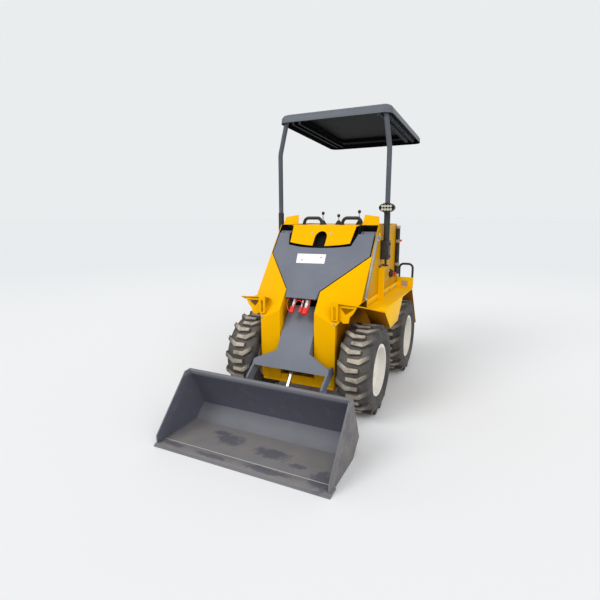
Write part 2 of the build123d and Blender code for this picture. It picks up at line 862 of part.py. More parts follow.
# Wheels: one rim and one tyre are made at the origin, outer side towards +X, and set at each corner
half_width = tyre_width / 2
rim_half = rim_width / 2
seat_x = rim_half - 22
well_x = rim_half - 40
with BuildPart() as left_rim:
    with BuildSketch(Plane.XZ):
        with BuildLine():
            Polyline(
                (-rim_half - rim_sheet, rim_flange_radius),
                (-rim_half, rim_flange_radius),
                (-rim_half, bead_radius),
                (-seat_x, bead_radius),
                (-well_x, rim_drop_radius),
                (well_x - 20, rim_drop_radius),
                (seat_x - 20, bead_radius),
                (rim_half, bead_radius),
                (rim_half, rim_flange_radius),
                (rim_half + rim_sheet, rim_flange_radius),
                (rim_half + rim_sheet, bead_radius - rim_sheet),
                (seat_x - 18, bead_radius - rim_sheet),
                (well_x - 18, rim_drop_radius - rim_sheet),
                (-well_x - 2, rim_drop_radius - rim_sheet),
                (-seat_x - 2, bead_radius - rim_sheet),
                (-rim_half - rim_sheet, bead_radius - rim_sheet),
                close=True,
            )
        make_face()
        with BuildLine():
            Polyline(
                (rim_disc_offset - 26, rim_drop_radius - rim_sheet + 1),
                (rim_disc_offset - 20, rim_drop_radius - rim_sheet + 1),
                (rim_disc_offset + 8, 96),
                (rim_disc_offset + 8, shaft_radius + running_gap),
                (rim_disc_offset - hub_length, shaft_radius + running_gap),
                (rim_disc_offset - hub_length, hub_radius),
                (rim_disc_offset, hub_radius),
                (rim_disc_offset, 92),
                close=True,
            )
        make_face()
    revolve(axis=Axis.X)
    with BuildSketch(Plane.YZ.offset(rim_disc_offset - 30)):
        with Locations((0, -112)):
            Circle(valve_radius)
    extrude(amount=50, mode=Mode.SUBTRACT)

lug_reach = max(abs(around) for _, around in lug_outline)
lug_top = sqrt(tyre_radius**2 - lug_reach**2)
lug_corner = degrees(asin(lug_reach / tyre_radius))


def narrowing_disc(wide, narrow, deep):
    """A flat-sided disc that narrows along +X, from one polygon to a smaller one."""
    flat = cos(pi / carcass_sides)
    with BuildPart() as disc:
        with BuildSketch(Plane.YZ):
            RegularPolygon(wide, carcass_sides)
        extrude(amount=deep)
        for place in range(carcass_sides):
            around = Vector(0, 0, 1).rotate(Axis.X, (place + 0.5) * 360 / carcass_sides)
            with BuildSketch(Plane(origin=(0, 0, 0), x_dir=(1, 0, 0), z_dir=around)):
                with BuildLine():
                    Polyline(
                        (0, wide * flat),
                        (deep, narrow * flat),
                        (deep + 1, narrow * flat),
                        (deep + 1, wide),
                        (0, wide),
                        close=True,
                    )
                make_face()
        extrude(amount=wide * 4 / carcass_sides, both=True, mode=Mode.SUBTRACT)
    return disc.part


shoulder = narrowing_disc(carcass_radius, shoulder_radius, shoulder_width)
recess = narrowing_disc(shoulder_radius, rim_flange_radius + 2, half_width - rim_half + seat_gap)
with BuildPart() as left_tyre:
    with BuildSketch(Plane.YZ.offset(shoulder_width - half_width)):
        RegularPolygon(carcass_radius, carcass_sides)
    extrude(amount=2 * (half_width - shoulder_width))
    with Locations(
        Location((half_width - shoulder_width, 0, 0)), Location((shoulder_width - half_width, 0, 0), (0, 0, 180))
    ):
        add(shoulder)
    with Locations(Location((-half_width, 0, 0)), Location((half_width, 0, 0), (0, 0, 180))):
        add(recess, mode=Mode.SUBTRACT)
    with BuildSketch(Plane.YZ.offset(-half_width)):
        RegularPolygon(bead_radius + seat_gap, carcass_sides, major_radius=False)
    extrude(amount=tyre_width, mode=Mode.SUBTRACT)
    for row, shift in ((1, 0), (-1, 0.5)):
        for place in range(lug_count):
            turn = 270 - lug_corner + (place + shift) * 360 / lug_count
            outward = Vector(0, 1, 0).rotate(Axis.X, turn)
            with BuildSketch(Plane(origin=outward * lug_root, x_dir=(row, 0, 0), z_dir=outward)):
                with BuildLine():
                    Polyline(*[(out, around * row) for out, around in lug_outline], close=True)
                make_face()
    extrude(amount=lug_top - lug_root)

right_rim = mirror(left_rim.part, about=Plane.YZ)
right_tyre = mirror(left_tyre.part, about=Plane.YZ)
wheel_table = (
    ("front_left", 1, front_axle_y, left_rim.part, left_tyre.part),
    ("front_right", -1, front_axle_y, right_rim, right_tyre),
    ("rear_left", 1, rear_axle_y, left_rim.part, left_tyre.part),
    ("rear_right", -1, rear_axle_y, right_rim, right_tyre),
)
for corner, side, axle_y, rim_shape, tyre_shape in wheel_table:
    with BuildPart() as rim:
        with Locations((side * wheel_centre_x, axle_y, tyre_radius)):
            add(rim_shape)
    save(rim, f"rim_{corner}")
    with BuildPart() as tyre:
        with Locations((side * wheel_centre_x, axle_y, tyre_radius)):
            add(tyre_shape)
    save(tyre, f"tyre_{corner}")

# Lift arm face: the bent grey plate with its notch
with BuildPart() as arm_face:
    with BuildSketch(Plane.XY.offset(700)):
        low = front_at(0, 700)
        far = front_at(wing_vertex_x, 700)
        with BuildLine():
            Polyline(
                (-wing_vertex_x, far),
                (-face_half, low),
                (face_half, low),
                (wing_vertex_x, far),
                (wing_vertex_x, far + face_sheet),
                (face_half, low + face_sheet),
                (-face_half, low + face_sheet),
                (-wing_vertex_x, far + face_sheet),
                close=True,
            )
        make_face()
    extrude(amount=700, dir=(0, face_slope, 1))
    with BuildSketch(Plane.XZ.offset(-200)):
        with BuildLine():
            Polyline(
                (-notch_low[0], notch_low[1]),
                (-notch_top_x, face_top_z),
                (-wing_vertex_x + 3, face_top_z),
                (-wing_vertex_x, wing_vertex_z),
                (-face_half, face_z),
                (-tongue_half, tongue_z),
                (tongue_half, tongue_z),
                (face_half, face_z),
                (wing_vertex_x, wing_vertex_z),
                (wing_vertex_x - 3, face_top_z),
                (notch_top_x, face_top_z),
                notch_low,
            )
            ThreePointArc(notch_low, (0, notch_middle_z), (-notch_low[0], notch_low[1]))
        make_face()
    extrude(amount=800, mode=Mode.INTERSECT)
save(arm_face, "arm_face")

# Lift arm legs: paired plates from the pivot down to the cylinder's pin
leg_inner = (267, 277)
leg_outer = (340, 350)
leg_gap = 10
boss_low_x = side_plate_x + 4
boss_high_x = tower_x - plate - 4
with BuildPart() as arm_legs:
    for leg_low, leg_high in (leg_inner, leg_outer):
        leg_low_z = face_z + edge_slope * (leg_high - face_half) + leg_gap
        with BuildSketch(Plane.YZ.offset(leg_low)):
            with BuildLine():
                Polyline(
                    (front_at(leg_high, 1130) + face_sheet, 1130),
                    (front_at(leg_high, leg_low_z) + face_sheet, leg_low_z),
                    (lift_arm_y - 20, lift_arm_z - 10),
                    (lift_arm_y + 16, lift_arm_z - 16),
                    (pivot_y + 25, pivot_z - 20),
                    (pivot_y + 10, pivot_z + 30),
                    (pivot_y - 20, pivot_z + 30),
                    close=True,
                )
            make_face()
            with Locations(pivot_place):
                Circle(pivot_boss_radius)
            with Locations((lift_arm_y, lift_arm_z)):
                Circle(lift_eye_radius - 4)
        extrude(amount=leg_high - leg_low)
    with BuildSketch(Plane.YZ.offset(boss_low_x)):
        with Locations(pivot_place):
            Circle(pivot_boss_radius)
    extrude(amount=boss_high_x - boss_low_x)
    with BuildSketch(Plane.YZ.offset(boss_low_x)):
        with Locations(pivot_place):
            Circle(pivot_pin_radius)
    extrude(amount=boss_high_x - boss_low_x, mode=Mode.SUBTRACT)
    for boss_low, boss_high in ((leg_inner[1], lift_x - lift_eye_half), (lift_x + lift_eye_half, leg_outer[0])):
        with BuildSketch(Plane.YZ.offset(boss_low + (seat_gap if boss_low > lift_x else 0))):
            with Locations((lift_arm_y, lift_arm_z)):
                Circle(lift_eye_radius - 4)
        extrude(amount=boss_high - boss_low - seat_gap)
    mirror(about=Plane.YZ)
save(arm_legs, "arm_legs")

# Lift arm column: side plates, front plate, the flare at its foot and the couplers' bracket
up_slope = Vector(0, face_slope, 1).normalized()
into_slope = Vector(0, up_slope.Z, -up_slope.Y)


def behind_face(down, deep):
    """A (Y, Z) point measured down the back of the arm's face and square into the machine."""
    edge = Vector(0, front_at(0, coupler_plate_z) + face_sheet, coupler_plate_z)
    spot = edge - up_slope * down + into_slope * deep
    return (spot.Y, spot.Z)


knee_y, knee_height = column_knee
column_top_y = knee_y + column_slope_high * (column_top_z - knee_height)
column_low_y = knee_y + column_slope_low * (flare_low_z - knee_height)
with BuildPart() as arm_column:
    with BuildSketch(Plane.YZ.offset(-flare_half)):
        with BuildLine():
            Polyline(
                (column_top_y, column_top_z),
                (knee_y, knee_height),
                (column_low_y, flare_low_z),
                (column_low_y + arm_plate, flare_low_z),
                (knee_y + arm_plate, knee_height),
                (column_top_y + arm_plate, column_top_z),
                close=True,
            )
        make_face()
    extrude(amount=2 * flare_half)
    with BuildSketch(Plane.XZ.offset(-100)):
        with BuildLine():
            Polyline(
                (-column_half, column_top_z),
                (column_half, column_top_z),
                (column_half, neck_z),
                (flare_half, flare_tip_z),
                (flare_half, flare_low_z),
                (-flare_half, flare_low_z),
                (-flare_half, flare_tip_z),
                (-column_half, neck_z),
                close=True,
            )
        make_face()
    extrude(amount=900, mode=Mode.INTERSECT)
    for wall_x in (-column_half, column_half - arm_plate):
        with BuildSketch(Plane.YZ.offset(wall_x)):
            with BuildLine():
                Polyline(
                    (front_at(0, tongue_z + 6) + face_sheet, tongue_z + 6),
                    (front_at(0, 1035) + face_sheet, 1035),
                    (-130, 950),
                    (-80, 850),
                    (-160, 700),
                    (-250, 560),
                    (-460, 380),
                    (knee_y + arm_plate + column_slope_low * (neck_z - knee_height), neck_z),
                    (knee_y + arm_plate, knee_height),
                    (column_top_y + arm_plate, column_top_z),
                    close=True,
                )
            make_face()
        extrude(amount=arm_plate)
    for wall_x in (-flare_half, flare_half - post_plate):
        with BuildSketch(Plane.YZ.offset(wall_x)):
            with BuildLine():
                Polyline(
                    (column_low_y + 4, flare_low_z + 8),
                    (-672, 262),
                    (hinge_y - hinge_boss_radius, hinge_z),
                    (hinge_y + hinge_boss_radius, hinge_z),
                    (-600, 240),
                    (-480, 300),
                    (-490, 345),
                    (column_low_y + 30, flare_tip_z),
                    close=True,
                )
            make_face()
            with Locations((hinge_y, hinge_z)):
                Circle(hinge_boss_radius)
                Circle(hinge_pin_radius, mode=Mode.SUBTRACT)
        extrude(amount=post_plate)
    with BuildSketch(Plane.YZ.offset(-column_half)):
        with Locations((tilt_base_y, tilt_base_z)):
            Circle(base_pin_radius)
    extrude(amount=2 * column_half)
    with BuildSketch(Plane.YZ.offset(-column_half)):
        with BuildLine():
            Polyline(
                behind_face(0, 0),
                behind_face(0, coupler_plate_deep),
                behind_face(arm_plate, coupler_plate_deep),
                behind_face(arm_plate, 0),
                close=True,
            )
        make_face()
    extrude(amount=2 * column_half)
save(arm_column, "arm_column")

# Couplers under the bracket and the red caps on their ends
with BuildPart() as couplers:
    for across, steel_radius, cap_radius, steel_length, cap_length in coupler_table:
        start = behind_face(arm_plate + seat_gap, coupler_deep)
        with BuildSketch(Plane(origin=(across, *start), x_dir=(1, 0, 0), z_dir=-up_slope)):
            Circle(steel_radius)
        extrude(amount=steel_length)
save(couplers, "couplers")
with BuildPart() as coupler_caps:
    for across, steel_radius, cap_radius, steel_length, cap_length in coupler_table:
        start = behind_face(arm_plate + 2 * seat_gap + steel_length, coupler_deep)
        with BuildSketch(Plane(origin=(across, *start), x_dir=(1, 0, 0), z_dir=-up_slope)):
            Circle(cap_radius)
        extrude(amount=cap_length)
save(coupler_caps, "coupler_caps")

# Tilt cylinder on the column's centre line
tilt_pin = (hinge_y, hinge_z + tilt_arm)
tilt_base = (tilt_base_y, tilt_base_z)
tilt_length = distance(tilt_base, tilt_pin)
with BuildPart() as tilt_barrel:
    with BuildSketch(link_plane(tilt_base, tilt_pin, 0)):
        Circle(tilt_barrel_radius)
    extrude(amount=tilt_length - tilt_gland)
    with BuildSketch(Plane.YZ.offset(-tilt_barrel_radius)):
        with Locations(tilt_base):
            Circle(tilt_barrel_radius)
    extrude(amount=2 * tilt_barrel_radius)
    with BuildSketch(Plane.YZ.offset(-tilt_barrel_radius)):
        with Locations(tilt_base):
            Circle(base_pin_radius + seat_gap)
    extrude(amount=2 * tilt_barrel_radius, mode=Mode.SUBTRACT)
    with BuildSketch(link_plane(tilt_pin, tilt_base, 0)):
        Circle(tilt_rod_radius + seat_gap)
    extrude(amount=tilt_length - 60, mode=Mode.SUBTRACT)
save(tilt_barrel, "tilt_barrel")
with BuildPart() as tilt_rod:
    with BuildSketch(link_plane(tilt_pin, tilt_base, 0)):
        Circle(tilt_rod_radius)
    extrude(amount=tilt_rod_length)
    with BuildSketch(Plane.YZ.offset(-tilt_eye_half)):
        with Locations(tilt_pin):
            Circle(tilt_eye_radius)
    extrude(amount=2 * tilt_eye_half)
save(tilt_rod, "tilt_rod")

# Lift cylinders in the slots
lift_base = (lift_base_y, lift_base_z)
lift_pin = (lift_arm_y, lift_arm_z)
lift_length = distance(lift_base, lift_pin)
with BuildPart() as lift_barrels:
    with BuildSketch(link_plane(lift_base, lift_pin, lift_x)):
        Circle(lift_barrel_radius)
    extrude(amount=lift_length - lift_gland)
    with BuildSketch(Plane.YZ.offset(lift_x - lift_barrel_radius)):
        with Locations(lift_base):
            Circle(lift_barrel_radius)
    extrude(amount=2 * lift_barrel_radius)
    with BuildSketch(Plane.YZ.offset(lift_x - lift_barrel_radius)):
        with Locations(lift_base):
            Circle(base_pin_radius + running_gap)
    extrude(amount=2 * lift_barrel_radius, mode=Mode.SUBTRACT)
    with BuildSketch(link_plane(lift_pin, lift_base, lift_x)):
        Circle(lift_rod_radius + seat_gap)
    extrude(amount=lift_length - 60, mode=Mode.SUBTRACT)
    mirror(about=Plane.YZ)
save(lift_barrels, "lift_barrels")
with BuildPart() as lift_rods:
    with BuildSketch(link_plane(lift_pin, lift_base, lift_x)):
        Circle(lift_rod_radius)
    extrude(amount=lift_rod_length)
    with BuildSketch(Plane.YZ.offset(lift_x - lift_eye_half)):
        with Locations(lift_pin):
            Circle(lift_eye_radius)
    extrude(amount=2 * lift_eye_half)
    mirror(about=Plane.YZ)
save(lift_rods, "lift_rods")

# Quick-attach frame: a plate flat against the bucket's back, with ears for hinge and cylinder
back_run = Vector(0, bucket_top[0] - bucket_bend[0], bucket_top[1] - bucket_bend[1]).normalized()
back_out = Vector(0, back_run.Z, -back_run.Y)


def behind_bucket(up, out):
    """A (Y, Z) point measured up the bucket's back from its bend and out behind it."""
    spot = Vector(0, *bucket_bend) + back_run * up + back_out * out
    return (spot.Y, spot.Z)


with BuildPart() as attach_frame:
    with BuildSketch(Plane.YZ.offset(-attach_half)):
        with BuildLine():
            Polyline(
                behind_bucket(12, seat_gap),
                behind_bucket(attach_height, seat_gap),
                behind_bucket(attach_height, attach_sheet),
                behind_bucket(12, attach_sheet),
                close=True,
            )
        make_face()
    extrude(amount=2 * attach_half)
    for ear_x in (-hinge_ear_x, hinge_ear_x - hinge_ear):
        with BuildSketch(Plane.YZ.offset(ear_x)):
            with BuildLine():
                Polyline(
                    behind_bucket(20, attach_sheet - 1),
                    behind_bucket(170, attach_sheet - 1),
                    (hinge_y, hinge_z + 28),
                    (hinge_y, hinge_z - 28),
                    close=True,
                )
            make_face()
            with Locations((hinge_y, hinge_z)):
                Circle(28)
        extrude(amount=hinge_ear)
    for pin_x in (hinge_ear_x - hinge_ear, -flare_half - 4):
        with BuildSketch(Plane.YZ.offset(pin_x)):
            with Locations((hinge_y, hinge_z)):
                Circle(hinge_pin_radius - running_gap)
        extrude(amount=flare_half + 4 - hinge_ear_x + hinge_ear)
    for ear_x in (-tilt_eye_half - seat_gap - tilt_ear, tilt_eye_half + seat_gap):
        with BuildSketch(Plane.YZ.offset(ear_x)):
            with BuildLine():
                Polyline(
                    behind_bucket(60, attach_sheet - 1),
                    behind_bucket(190, attach_sheet - 1),
                    (hinge_y, hinge_z + tilt_arm + tilt_eye_radius),
                    (hinge_y, hinge_z + tilt_arm - tilt_eye_radius),
                    close=True,
                )
            make_face()
            with Locations((hinge_y, hinge_z + tilt_arm)):
                Circle(tilt_eye_radius)
        extrude(amount=tilt_ear)
save(attach_frame, "attach_frame")

# Latch handles on the upper edge of the quick-attach frame
with BuildPart() as latch_handles:
    latch_plane = Plane(
        origin=(0, *behind_bucket(attach_height + seat_gap, attach_sheet / 2)), x_dir=(1, 0, 0), z_dir=back_run
    )
    for latch_side in (-latch_x, latch_x):
        with BuildSketch(latch_plane):
            with Locations((latch_side, 0)):
                Circle(6)
        extrude(amount=20)
        with BuildSketch(latch_plane.offset(9)):
            with Locations((latch_side, 0)):
                Rectangle(70, attach_sheet - 2)
        extrude(amount=10)
save(latch_handles, "latch_handles")

# Bucket
with BuildPart() as bucket:
    with BuildSketch(Plane.YZ.offset(-bucket_half)):
        with BuildLine():
            Polyline(
                (bucket_front_y + cutting_edge_width, 0),
                (bucket_heel_y, 0),
                bucket_bend,
                bucket_top,
                (bucket_top[0] - bucket_plate, bucket_top[1] - 3),
                (bucket_bend[0] - 10, bucket_bend[1] + 4),
                (bucket_heel_y - 3, bucket_plate),
                (bucket_front_y + cutting_edge_width, bucket_plate),
                close=True,
            )
        make_face()
    extrude(amount=2 * bucket_half)
    for wall_x in (-bucket_half, bucket_half - bucket_plate):
        with BuildSketch(Plane.YZ.offset(wall_x)):
            with BuildLine():
                Polyline(
                    (bucket_front_y + 17, cutting_edge_thick + seat_gap),
                    (bucket_front_y + cutting_edge_width, cutting_edge_thick + seat_gap),
                    (bucket_front_y + cutting_edge_width, 0),
                    (bucket_heel_y, 0),
                    bucket_bend,
                    bucket_top,
                    bucket_side_top,
                    bucket_side_front,
                    close=True,
                )
            make_face()
        extrude(amount=bucket_plate)
    back_length = distance(bucket_bend, bucket_top)
    with BuildSketch(Plane.YZ.offset(-bucket_half)):
        with BuildLine():
            Polyline(
                behind_bucket(back_length - lip_height, -bucket_plate + 1),
                behind_bucket(back_length - 1, -bucket_plate + 1),
                behind_bucket(back_length - 1, -bucket_plate - lip_thick),
                behind_bucket(back_length - lip_height, -bucket_plate - lip_thick),
                close=True,
            )
        make_face()
    extrude(amount=2 * bucket_half)
save(bucket, "bucket")
with BuildPart() as cutting_edge:
    with BuildSketch(Plane.YZ.offset(-cutting_edge_half)):
        with BuildLine():
            Polyline(
                (bucket_front_y, 0),
                (bucket_front_y + cutting_edge_width - seat_gap, 0),
                (bucket_front_y + cutting_edge_width - seat_gap, cutting_edge_thick),
                (bucket_front_y + 16, cutting_edge_thick),
                (bucket_front_y, 3),
                close=True,
            )
        make_face()
    extrude(amount=2 * cutting_edge_half)
save(cutting_edge, "cutting_edge")
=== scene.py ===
import json
import math

import bmesh
import bpy
from mathutils import Matrix, Vector


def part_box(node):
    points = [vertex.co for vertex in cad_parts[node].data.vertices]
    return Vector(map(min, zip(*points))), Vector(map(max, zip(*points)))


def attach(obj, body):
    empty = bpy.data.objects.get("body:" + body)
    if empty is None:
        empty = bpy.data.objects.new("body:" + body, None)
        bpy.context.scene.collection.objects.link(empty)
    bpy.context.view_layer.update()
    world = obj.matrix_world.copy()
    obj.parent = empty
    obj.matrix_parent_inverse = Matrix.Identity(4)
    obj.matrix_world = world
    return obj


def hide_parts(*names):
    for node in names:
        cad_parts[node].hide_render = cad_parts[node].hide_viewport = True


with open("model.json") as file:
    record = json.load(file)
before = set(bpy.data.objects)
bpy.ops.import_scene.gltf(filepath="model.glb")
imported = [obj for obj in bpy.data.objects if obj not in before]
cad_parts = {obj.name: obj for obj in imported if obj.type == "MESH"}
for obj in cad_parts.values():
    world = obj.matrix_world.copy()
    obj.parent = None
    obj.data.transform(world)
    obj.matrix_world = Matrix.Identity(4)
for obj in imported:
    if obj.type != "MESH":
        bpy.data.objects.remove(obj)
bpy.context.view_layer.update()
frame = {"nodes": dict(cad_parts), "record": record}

# Everything is in metres in the frame's own axes: +Z up, bucket towards -Y, the machine's left is +X.
nodes = frame["nodes"]
slot_of = {part["node"]: part["material_slot"] for part in frame["record"]["subparts"]}


# Shader helpers
def node(tree, kind, **values):
    made = tree.nodes.new(kind)
    for key, value in values.items():
        setattr(made, key, value)
    return made


def noise(tree, vector, scale, detail=4.0, roughness=0.55):
    made = node(tree, "ShaderNodeTexNoise")
    made.inputs["Scale"].default_value = scale
    made.inputs["Detail"].default_value = detail
    made.inputs["Roughness"].default_value = roughness
    tree.links.new(vector, made.inputs["Vector"])
    return made.outputs["Fac"]


def ramp(tree, value, low, high, bottom=0.0, top=1.0):
    made = node(tree, "ShaderNodeMapRange")
    for key, number in (("From Min", low), ("From Max", high), ("To Min", bottom), ("To Max", top)):
        made.inputs[key].default_value = number
    tree.links.new(value, made.inputs["Value"])
    return made.outputs["Result"]


def math_node(tree, operation, first, second=0.0):
    made = node(tree, "ShaderNodeMath", operation=operation)
    for place, value in enumerate((first, second)):
        if isinstance(value, (int, float)):
            made.inputs[place].default_value = value
        else:
            tree.links.new(value, made.inputs[place])
    return made.outputs["Value"]


def product(tree, first, *others):
    for other in others:
        first = math_node(tree, "MULTIPLY", first, other)
    return first


def size_of(tree, value):
    return math_node(tree, "ABSOLUTE", value)


def above(tree, value, limit):
    return math_node(tree, "GREATER_THAN", value, limit)


def below(tree, value, limit):
    return math_node(tree, "LESS_THAN", value, limit)


def mix(tree, amount, first, second):
    made = node(tree, "ShaderNodeMix", data_type="RGBA")
    tree.links.new(amount, made.inputs["Factor"])
    for place, value in ((6, first), (7, second)):
        if isinstance(value, tuple):
            made.inputs[place].default_value = (*value, 1.0)
        else:
            tree.links.new(value, made.inputs[place])
    return made.outputs[2]


def split_axes(tree, vector):
    made = node(tree, "ShaderNodeSeparateXYZ")
    tree.links.new(vector, made.inputs["Vector"])
    return made.outputs["X"], made.outputs["Y"], made.outputs["Z"]


def surface_normal(tree):
    return split_axes(tree, node(tree, "ShaderNodeNewGeometry").outputs["Normal"])


def new_material(name):
    made = bpy.data.materials.new(name)
    made.use_nodes = True
    tree = made.node_tree
    shader = tree.nodes["Principled BSDF"]
    place = node(tree, "ShaderNodeTexCoord").outputs["Object"]
    return made, tree, shader, place


def edge_mask(tree, radius):
    """1 along edges, 0 on flat faces."""
    bevel = node(tree, "ShaderNodeBevel", samples=4)
    bevel.inputs["Radius"].default_value = radius
    plain = node(tree, "ShaderNodeNewGeometry")
    agreement = node(tree, "ShaderNodeVectorMath", operation="DOT_PRODUCT")
    tree.links.new(bevel.outputs["Normal"], agreement.inputs[0])
    tree.links.new(plain.outputs["Normal"], agreement.inputs[1])
    return ramp(tree, agreement.outputs["Value"], 0.98, 0.80)


def add_bump(tree, shader, height, strength, distance):
    bump = node(tree, "ShaderNodeBump")
    bump.inputs["Strength"].default_value = strength
    bump.inputs["Distance"].default_value = distance
    tree.links.new(height, bump.inputs["Height"])
    tree.links.new(bump.outputs["Normal"], shader.inputs["Normal"])


WHEEL_X = 0.399
EDGE_REACH = 0.0018
LAYER_SPECULAR = 0.02
DUST = (0.34, 0.29, 0.22)
# Near-black that stands in for shade, in the arm's slots and as the sheets behind the hood and couplers
SHADE_BLACK = (0.010, 0.010, 0.012)


def paint(name, colour, roughness=0.35, dust=DUST, dust_amount=0.25, wear=(0.3, 0.3, 0.3), wear_amount=0.4,
          specular=0.4, tint=(1.0, 1.0, 1.0), variation=0.06, peel=0.0002, layers=()):
    """Painted sheet metal: uneven colour, dust in patches, worn edges and an orange-peel surface.
    Each layer is a mask with the colour that lies there, dull and over the paint."""
    made, tree, shader, place = new_material(name)
    broad = noise(tree, place, 3.5)
    fine = noise(tree, place, 38.0, 6.0, 0.65)
    speck = noise(tree, place, 260.0, 3.0, 0.7)
    darker = tuple(c * (1 - variation) for c in colour)
    lighter = tuple(min(1.0, c * (1 + variation)) for c in colour)
    base = mix(tree, ramp(tree, broad, 0.35, 0.65), darker, lighter)
    patch = product(tree, ramp(tree, fine, 0.48, 0.72), ramp(tree, broad, 0.42, 0.66), dust_amount)
    base = mix(tree, patch, base, dust)
    edges = product(tree, edge_mask(tree, EDGE_REACH), ramp(tree, fine, 0.42, 0.60), wear_amount)
    base = mix(tree, edges, base, wear)
    shader.inputs["Specular IOR Level"].default_value = specular
    dull = 0.0
    for mask, layer_colour in layers:
        share = mask(tree, place)
        base = mix(tree, share, base, layer_colour)
        dull = math_node(tree, "MAXIMUM", share, dull)
    if layers:
        shine = ramp(tree, dull, 0.0, 1.0, specular, LAYER_SPECULAR)
        tree.links.new(shine, shader.inputs["Specular IOR Level"])
    tree.links.new(base, shader.inputs["Base Color"])
    uneven = math_node(tree, "ADD", patch, product(tree, fine, 0.25))
    rough = ramp(tree, uneven, 0.0, 0.8, roughness - 0.05, roughness + 0.35)
    tree.links.new(rough, shader.inputs["Roughness"])
    shader.inputs["Specular Tint"].default_value = (*tint, 1.0)
    add_bump(tree, shader, math_node(tree, "ADD", product(tree, speck, 0.5), fine), 0.35, peel)
    return made


def metal(name, colour, roughness=0.3, scratch=60.0):
    """Bare metal with fine scratches and smudges."""
    made, tree, shader, place = new_material(name)
    stretched = node(tree, "ShaderNodeMapping")
    stretched.inputs["Scale"].default_value = (1.0, 6.0, 1.0)
    tree.links.new(place, stretched.inputs["Vector"])
    lines = noise(tree, stretched.outputs["Vector"], scratch, 8.0, 0.7)
    smudge = noise(tree, place, 14.0)
    darker = tuple(c * 0.72 for c in colour)
    tree.links.new(mix(tree, ramp(tree, smudge, 0.35, 0.7), colour, darker), shader.inputs["Base Color"])
    tree.links.new(ramp(tree, lines, 0.3, 0.7, roughness - 0.1, roughness + 0.15), shader.inputs["Roughness"])
    shader.inputs["Metallic"].default_value = 1.0
    add_bump(tree, shader, lines, 0.15, 0.0003)
    return made


def rubber(name, colour, dusty):
    """Tyre rubber: dried dust on the lugs' tops, as the mesh's dusty values say, and a little all over."""
    made, tree, shader, place = new_material(name)
    broad = noise(tree, place, 11.0)
    fine = noise(tree, place, 85.0, 8.0, 0.7)
    grain = noise(tree, place, 400.0, 2.0)
    told = node(tree, "ShaderNodeAttribute", attribute_name="dusty").outputs["Fac"]
    x, _, _ = split_axes(tree, place)
    from_middle = size_of(tree, math_node(tree, "SUBTRACT", size_of(tree, x), WHEEL_X))
    told = product(tree, told, ramp(tree, from_middle, 0.050, 0.085, 1.0, 0.25))
    patchy = ramp(tree, math_node(tree, "ADD", broad, product(tree, fine, 0.7)), 0.60, 0.98)
    amount = product(tree, told, ramp(tree, patchy, 0.0, 1.0, 0.35, 1.0))
    amount = math_node(tree, "ADD", amount, product(tree, patchy, 0.12))
    tree.links.new(mix(tree, amount, colour, dusty), shader.inputs["Base Color"])
    tree.links.new(ramp(tree, fine, 0.3, 0.7, 0.68, 0.92), shader.inputs["Roughness"])
    shader.inputs["Specular IOR Level"].default_value = 0.3
    add_bump(tree, shader, math_node(tree, "ADD", fine, product(tree, grain, 0.4)), 0.5, 0.0008)
    return made


# Layers over the paint: painted shade under the roof, in slots, wells and bucket; earth, smears, a painted
# shadow, bright steel
roof_low, roof_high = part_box("canopy_roof")
roof_middle_y = (roof_low[1] + roof_high[1]) / 2
SLOT_LOW_Z = 0.74
SLOT_WALL_X = 0.3695
WELL_HIGH_Z = 0.715
WELL_LOW_Z = 0.640
WELL_OUTER_X = 0.400
PANEL_BACK_Y = -0.440
LIP_Z = 0.330
BUCKET_END_X = 0.5145
EDGE_BACK_Y = -1.133
SMEARS_AND_SHADOW = (
    # x, y, reach in x, reach in y
    (-0.170, -0.985, 0.100, 0.060),
    (0.115, -1.012, 0.120, 0.050),
    # this row is a painted shadow cast by the bucket's left end; the others are smears
    (0.455, -1.120, 0.075, 0.090),
    (-0.420, -1.165, 0.085, 0.022),
    (-0.150, -1.175, 0.120, 0.020),
    (0.180, -1.165, 0.140, 0.026),
    (0.290, -1.060, 0.050, 0.024),
    (-0.240, -0.945, 0.070, 0.030),
)


def roof_underside_shade(tree, place):
    """The roof's underside and the walls that face its middle, painted near-black as shade."""
    x, y, _ = split_axes(tree, place)
    normal_x, normal_y, normal_z = surface_normal(tree)
    from_middle_y = math_node(tree, "SUBTRACT", y, roof_middle_y)
    outward = math_node(tree, "ADD", product(tree, x, normal_x), product(tree, from_middle_y, normal_y))
    inner = product(tree, below(tree, outward, -0.02), below(tree, normal_z, 0.5))
    return math_node(tree, "MAXIMUM", inner, below(tree, normal_z, -0.5))


def slot_shade_mask(tree, place):
    """The walls of the arm's slots and everything between them, above the fenders: painted near-black as
    shade.
    """
    x, _, z = split_axes(tree, place)
    return product(tree, below(tree, size_of(tree, x), SLOT_WALL_X), above(tree, z, SLOT_LOW_Z))


def wheel_well_shade_mask(tree, place):
    """Painted shade, in brown, on undersides and on walls beside the wheels below the fenders."""
    x, y, z = split_axes(tree, place)
    normal_x, _, normal_z = surface_normal(tree)
    under = ramp(tree, normal_z, -0.15, -0.40, 0.0, 0.92)
    sideways = above(tree, size_of(tree, normal_x), 0.8)
    within = below(tree, size_of(tree, x), WELL_OUTER_X)
    behind_panel = ramp(tree, y, PANEL_BACK_Y, PANEL_BACK_Y + 0.040, 0.0, 0.85)
    beside = product(tree, sideways, within, behind_panel, ramp(tree, z, WELL_HIGH_Z, WELL_LOW_Z))
    return math_node(tree, "MAXIMUM", under, beside)


def bucket_wall_shade(tree, place):
    """Painted shade on the bucket's inner back and sides, below the lip, a little broken up."""
    _, _, z = split_axes(tree, place)
    _, _, normal_z = surface_normal(tree)
    broken = ramp(tree, noise(tree, place, 16.0, 7.0, 0.65), 0.30, 0.46, 0.75, 1.0)
    return product(tree, ramp(tree, normal_z, 0.75, 0.5), ramp(tree, z, LIP_Z, LIP_Z - 0.012), broken)


